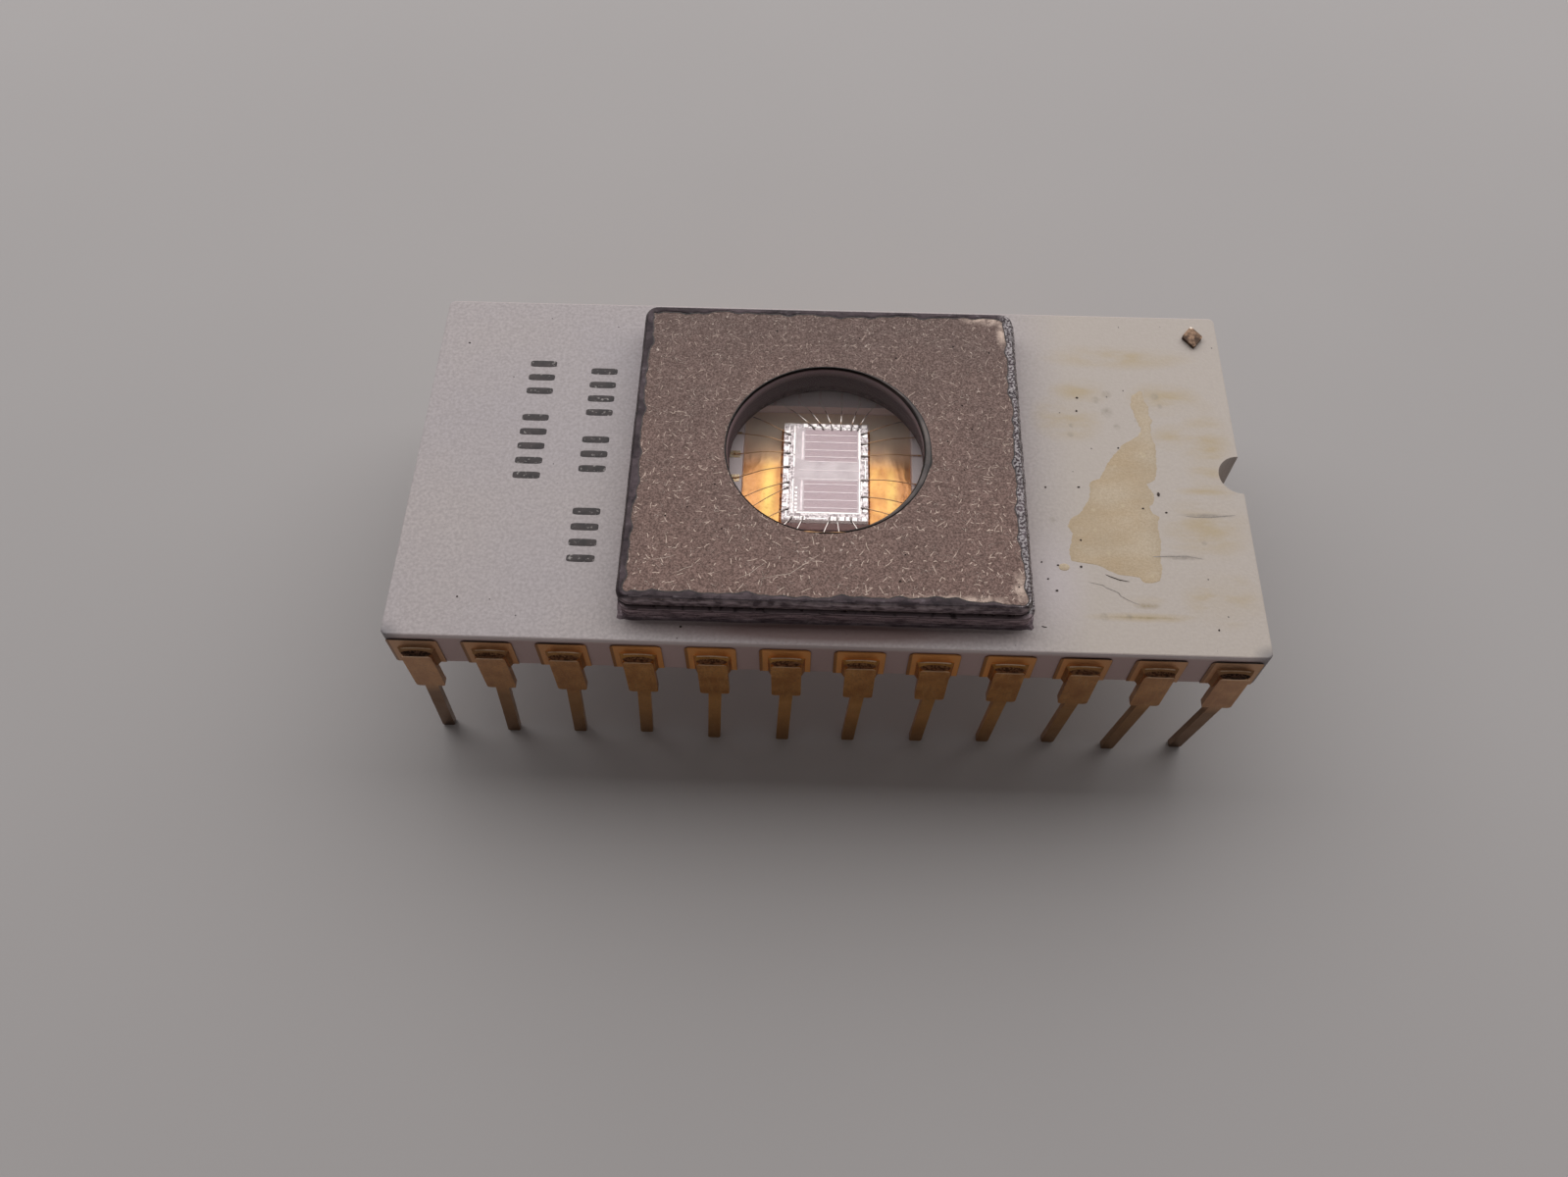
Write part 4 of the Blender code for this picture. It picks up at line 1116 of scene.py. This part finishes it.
def aluminium(name, dark, pale, by):
    """Aluminium film: bright, with a little soft unevenness."""
    finish = Finish(name, metallic=1.0)
    finish.ground(finish.grain(6.0, 3.0, by=by), 0.35, 0.65, dark, pale)
    return finish.coat(0.25)


dress(["die"], silicon())
BRIGHT_FILM = aluminium("aluminium_film", (236, 228, 228), (255, 250, 248), 3.0)
add_piece("die_metal", plates(BRIGHT_METAL), BRIGHT_FILM)
add_piece(
    "die_tracks",
    plates(FINE_TRACKS),
    aluminium("fine_tracks", (206, 193, 197), (222, 211, 214), 8.0),
)
add_piece("die_pads", plates([square(x, y, 0.16) for x, y in PADS]), BRIGHT_FILM)

# Bond wires: fine aluminium wires pressed onto the die's pads and onto gold fingers on the
# shelf, which carry the signals through the ceramic to the leads.
WIRES = [f"bond_wire_{number:02d}" for number in range(1, 25)]
SHELF = 6.40
FINGER_HEIGHT = 0.012
FINGER_REACH = (3.22, 4.25)  # inner and outer end, from the body's middle
FINGER_HALF = (0.05, 0.15)  # half the width of a narrow one and of a broad one


def dull_wire():
    """Aluminium wire: a painted reflection of the gold, grey on the die, painted light on the
    shelf.
    """
    finish = Finish("aluminium_wire")
    fine = finish.grain(6.0, 3.0, by=15.0)
    # Painted reflection: brown where the wire mirrors the gold floor.
    finish.ground(fine, 0.35, 0.65, (204, 154, 108), (228, 182, 140))
    # Painted light: the wire is painted pale at both ends, over the shelf, to lift its shade.
    pale = finish.most(finish.ramp(finish.y, 2.22, 2.32), finish.ramp(finish.y, -2.1, -2.2))
    finish.lay((255, 248, 244), pale)
    across = finish.size(finish.math("SUBTRACT", finish.x, MIDDLE_X))
    on_die = finish.ramp(across, 1.60, 1.54)
    finish.lay((186, 174, 172), on_die, finish.ramp(finish.size(finish.y), 2.22, 2.16))
    shine = finish.times(pale, finish.ramp(finish.y, 3.0, 2.8))
    metallic = finish.math("ADD", shine, finish.ramp(pale, 0.0, 1.0, 0.55, 0.0))
    return finish.coat(finish.ramp(shine, 0.0, 1.0, 0.4, 0.25), metallic=metallic)


def finger_gold():
    """Plated fingers: painted shining gold on the left, and like the shelf where shade hides them.
    """
    finish = Finish("finger_gold")
    fine = finish.grain(9.0, 2.0, by=4.0)
    # Painted light: only the left fingers are gold, painted as shine; the rest are painted like the
    # shelf, as in shade.
    left = finish.ramp(finish.x, -3.0, -3.1)
    gold = finish.tones(fine, 0.35, 0.65, (255, 214, 160), (255, 240, 210))
    finish.colour = finish.mix(left, (250, 228, 230), gold)
    rough = finish.ramp(left, 0.0, 1.0, 0.6, 0.22)
    return finish.coat(rough, fine, 0.01, finish.times(left, 0.3))


def wire_foot_places():
    """Where each wire starts on the die and ends on the shelf, from its own solid."""
    for name in WIRES:
        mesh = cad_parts[name].data
        points = np.empty(len(mesh.vertices) * 3)
        mesh.vertices.foreach_get("co", points)
        points = points.reshape(-1, 3) * 1000
        away = np.maximum(np.abs(points[:, 0] - MIDDLE_X) * 1.4, np.abs(points[:, 1]))
        order = np.argsort(away)
        yield points[order[:8]].mean(axis=0), points[order[-8:]].mean(axis=0)


def foot(place, towards):
    """A pressed foot: a flat ellipsoid along the wire, closed at both poles."""
    turn, tilt = np.linspace(0, 2 * np.pi, 11), np.linspace(-np.pi / 2, np.pi / 2, 7)
    way = np.arctan2(*(towards - place)[1::-1])
    long = 0.075 * np.outer(np.cos(turn), np.cos(tilt))
    wide = 0.040 * np.outer(np.sin(turn), np.cos(tilt))
    return grid(
        place[0] + long * np.cos(way) - wide * np.sin(way),
        place[1] + long * np.sin(way) + wide * np.cos(way),
        place[2] - 0.008 + 0.018 * np.sin(tilt),
    )


def finger(end):
    """A finger on the shelf under one wire's end: a low closed plate across the shelf.

    The two on the left that shine are broad, and the others are narrow.
    """
    along_x = abs(end[0]) > abs(end[1])
    sign = np.sign(end[0] if along_x else end[1])
    across = end[1] if along_x else end[0]
    shiny = along_x and sign < 0 and abs(end[1] - 0.2) < 0.7
    near, far = (sign * reach for reach in FINGER_REACH)
    low, high = across - FINGER_HALF[shiny], across + FINGER_HALF[shiny]
    outline = np.array([(near, low), (far, low), (far, high), (near, high), (near, low)])
    return plate(outline if along_x else outline[:, ::-1], SHELF + FINGER_HEIGHT, SHELF - 0.002)


WIRE_FEET = list(wire_foot_places())
WIRE_METAL = dull_wire()
dress(WIRES, WIRE_METAL)
add_piece(
    "bond_feet",
    [foot(*ends) for ends in WIRE_FEET] + [foot(*ends[::-1]) for ends in WIRE_FEET],
    WIRE_METAL,
)
add_piece("gold_fingers", [finger(end) for _, end in WIRE_FEET], finger_gold())

# Studio: a plain pale floor, one large soft light behind and above, and a weak even fill.
FLOOR_SIZE = 1.2
LIGHT_ELEVATION = 45.0
LIGHT_DISTANCE = 0.25
LIGHT_SIZE = (0.80, 0.29)
LIGHT_POWER = 1.2
FILL_STRENGTH = 0.13
BACKDROP_STRENGTH = 0.75


def pale_floor():
    """Plain matt floor, with hardly any change of tone."""
    finish = Finish("pale_floor")
    finish.colour = finish.mix(finish.grain(0.05, 2.0), (186, 181, 180), (192, 187, 186))
    return finish.coat(0.85)


def add_floor():
    mesh = bpy.data.meshes.new("floor")
    half = FLOOR_SIZE / 2
    corners = [(-half, -half, 0), (half, -half, 0), (half, half, 0), (-half, half, 0)]
    mesh.from_pydata(corners, [], [(0, 1, 2, 3)])
    mesh.materials.append(pale_floor())
    stand("floor", mesh)


def add_soft_light():
    """A rectangular lamp that faces the part from +Y."""
    lamp = bpy.data.lights.new("soft_light", "AREA")
    lamp.shape = "RECTANGLE"
    lamp.size, lamp.size_y = LIGHT_SIZE
    lamp.energy = LIGHT_POWER
    light = stand("soft_light", lamp)
    angle = np.radians(LIGHT_ELEVATION)
    light.location = (0, LIGHT_DISTANCE * np.cos(angle), LIGHT_DISTANCE * np.sin(angle))
    light.rotation_euler = (angle - np.pi / 2, 0, 0)


def set_world():
    """Even weak light from all round, and a pale grey where the camera sees it, also past glass."""
    world = bpy.data.worlds.new("studio")
    world.use_nodes = True
    nodes, links = world.node_tree.nodes, world.node_tree.links
    path = nodes.new("ShaderNodeLightPath")
    seen = nodes.new("ShaderNodeMath")
    seen.operation = "MAXIMUM"
    links.new(path.outputs["Is Camera Ray"], seen.inputs[0])
    links.new(path.outputs["Is Transmission Ray"], seen.inputs[1])
    level = nodes.new("ShaderNodeMapRange")
    level.inputs["To Min"].default_value = FILL_STRENGTH
    level.inputs["To Max"].default_value = BACKDROP_STRENGTH
    links.new(seen.outputs[0], level.inputs["Value"])
    links.new(level.outputs[0], nodes["Background"].inputs["Strength"])
    nodes["Background"].inputs["Color"].default_value = (1.0, 0.97, 0.96, 1.0)
    bpy.context.scene.world = world


add_floor()
add_soft_light()
set_world()

# Camera: where the photograph was taken from, close to the chip and steeply above it.
camera = stand("camera", bpy.data.cameras.new("camera"))
camera.data.sensor_width = 36.0
camera.data.lens = 28.91
camera.data.clip_start = 0.001
camera.location = (-0.0007813, -0.02663, 0.04468)
camera.rotation_euler = np.radians((29.640, -0.031, 1.773))
bpy.context.scene.camera = camera
bpy.context.scene.view_settings.view_transform = "Standard"
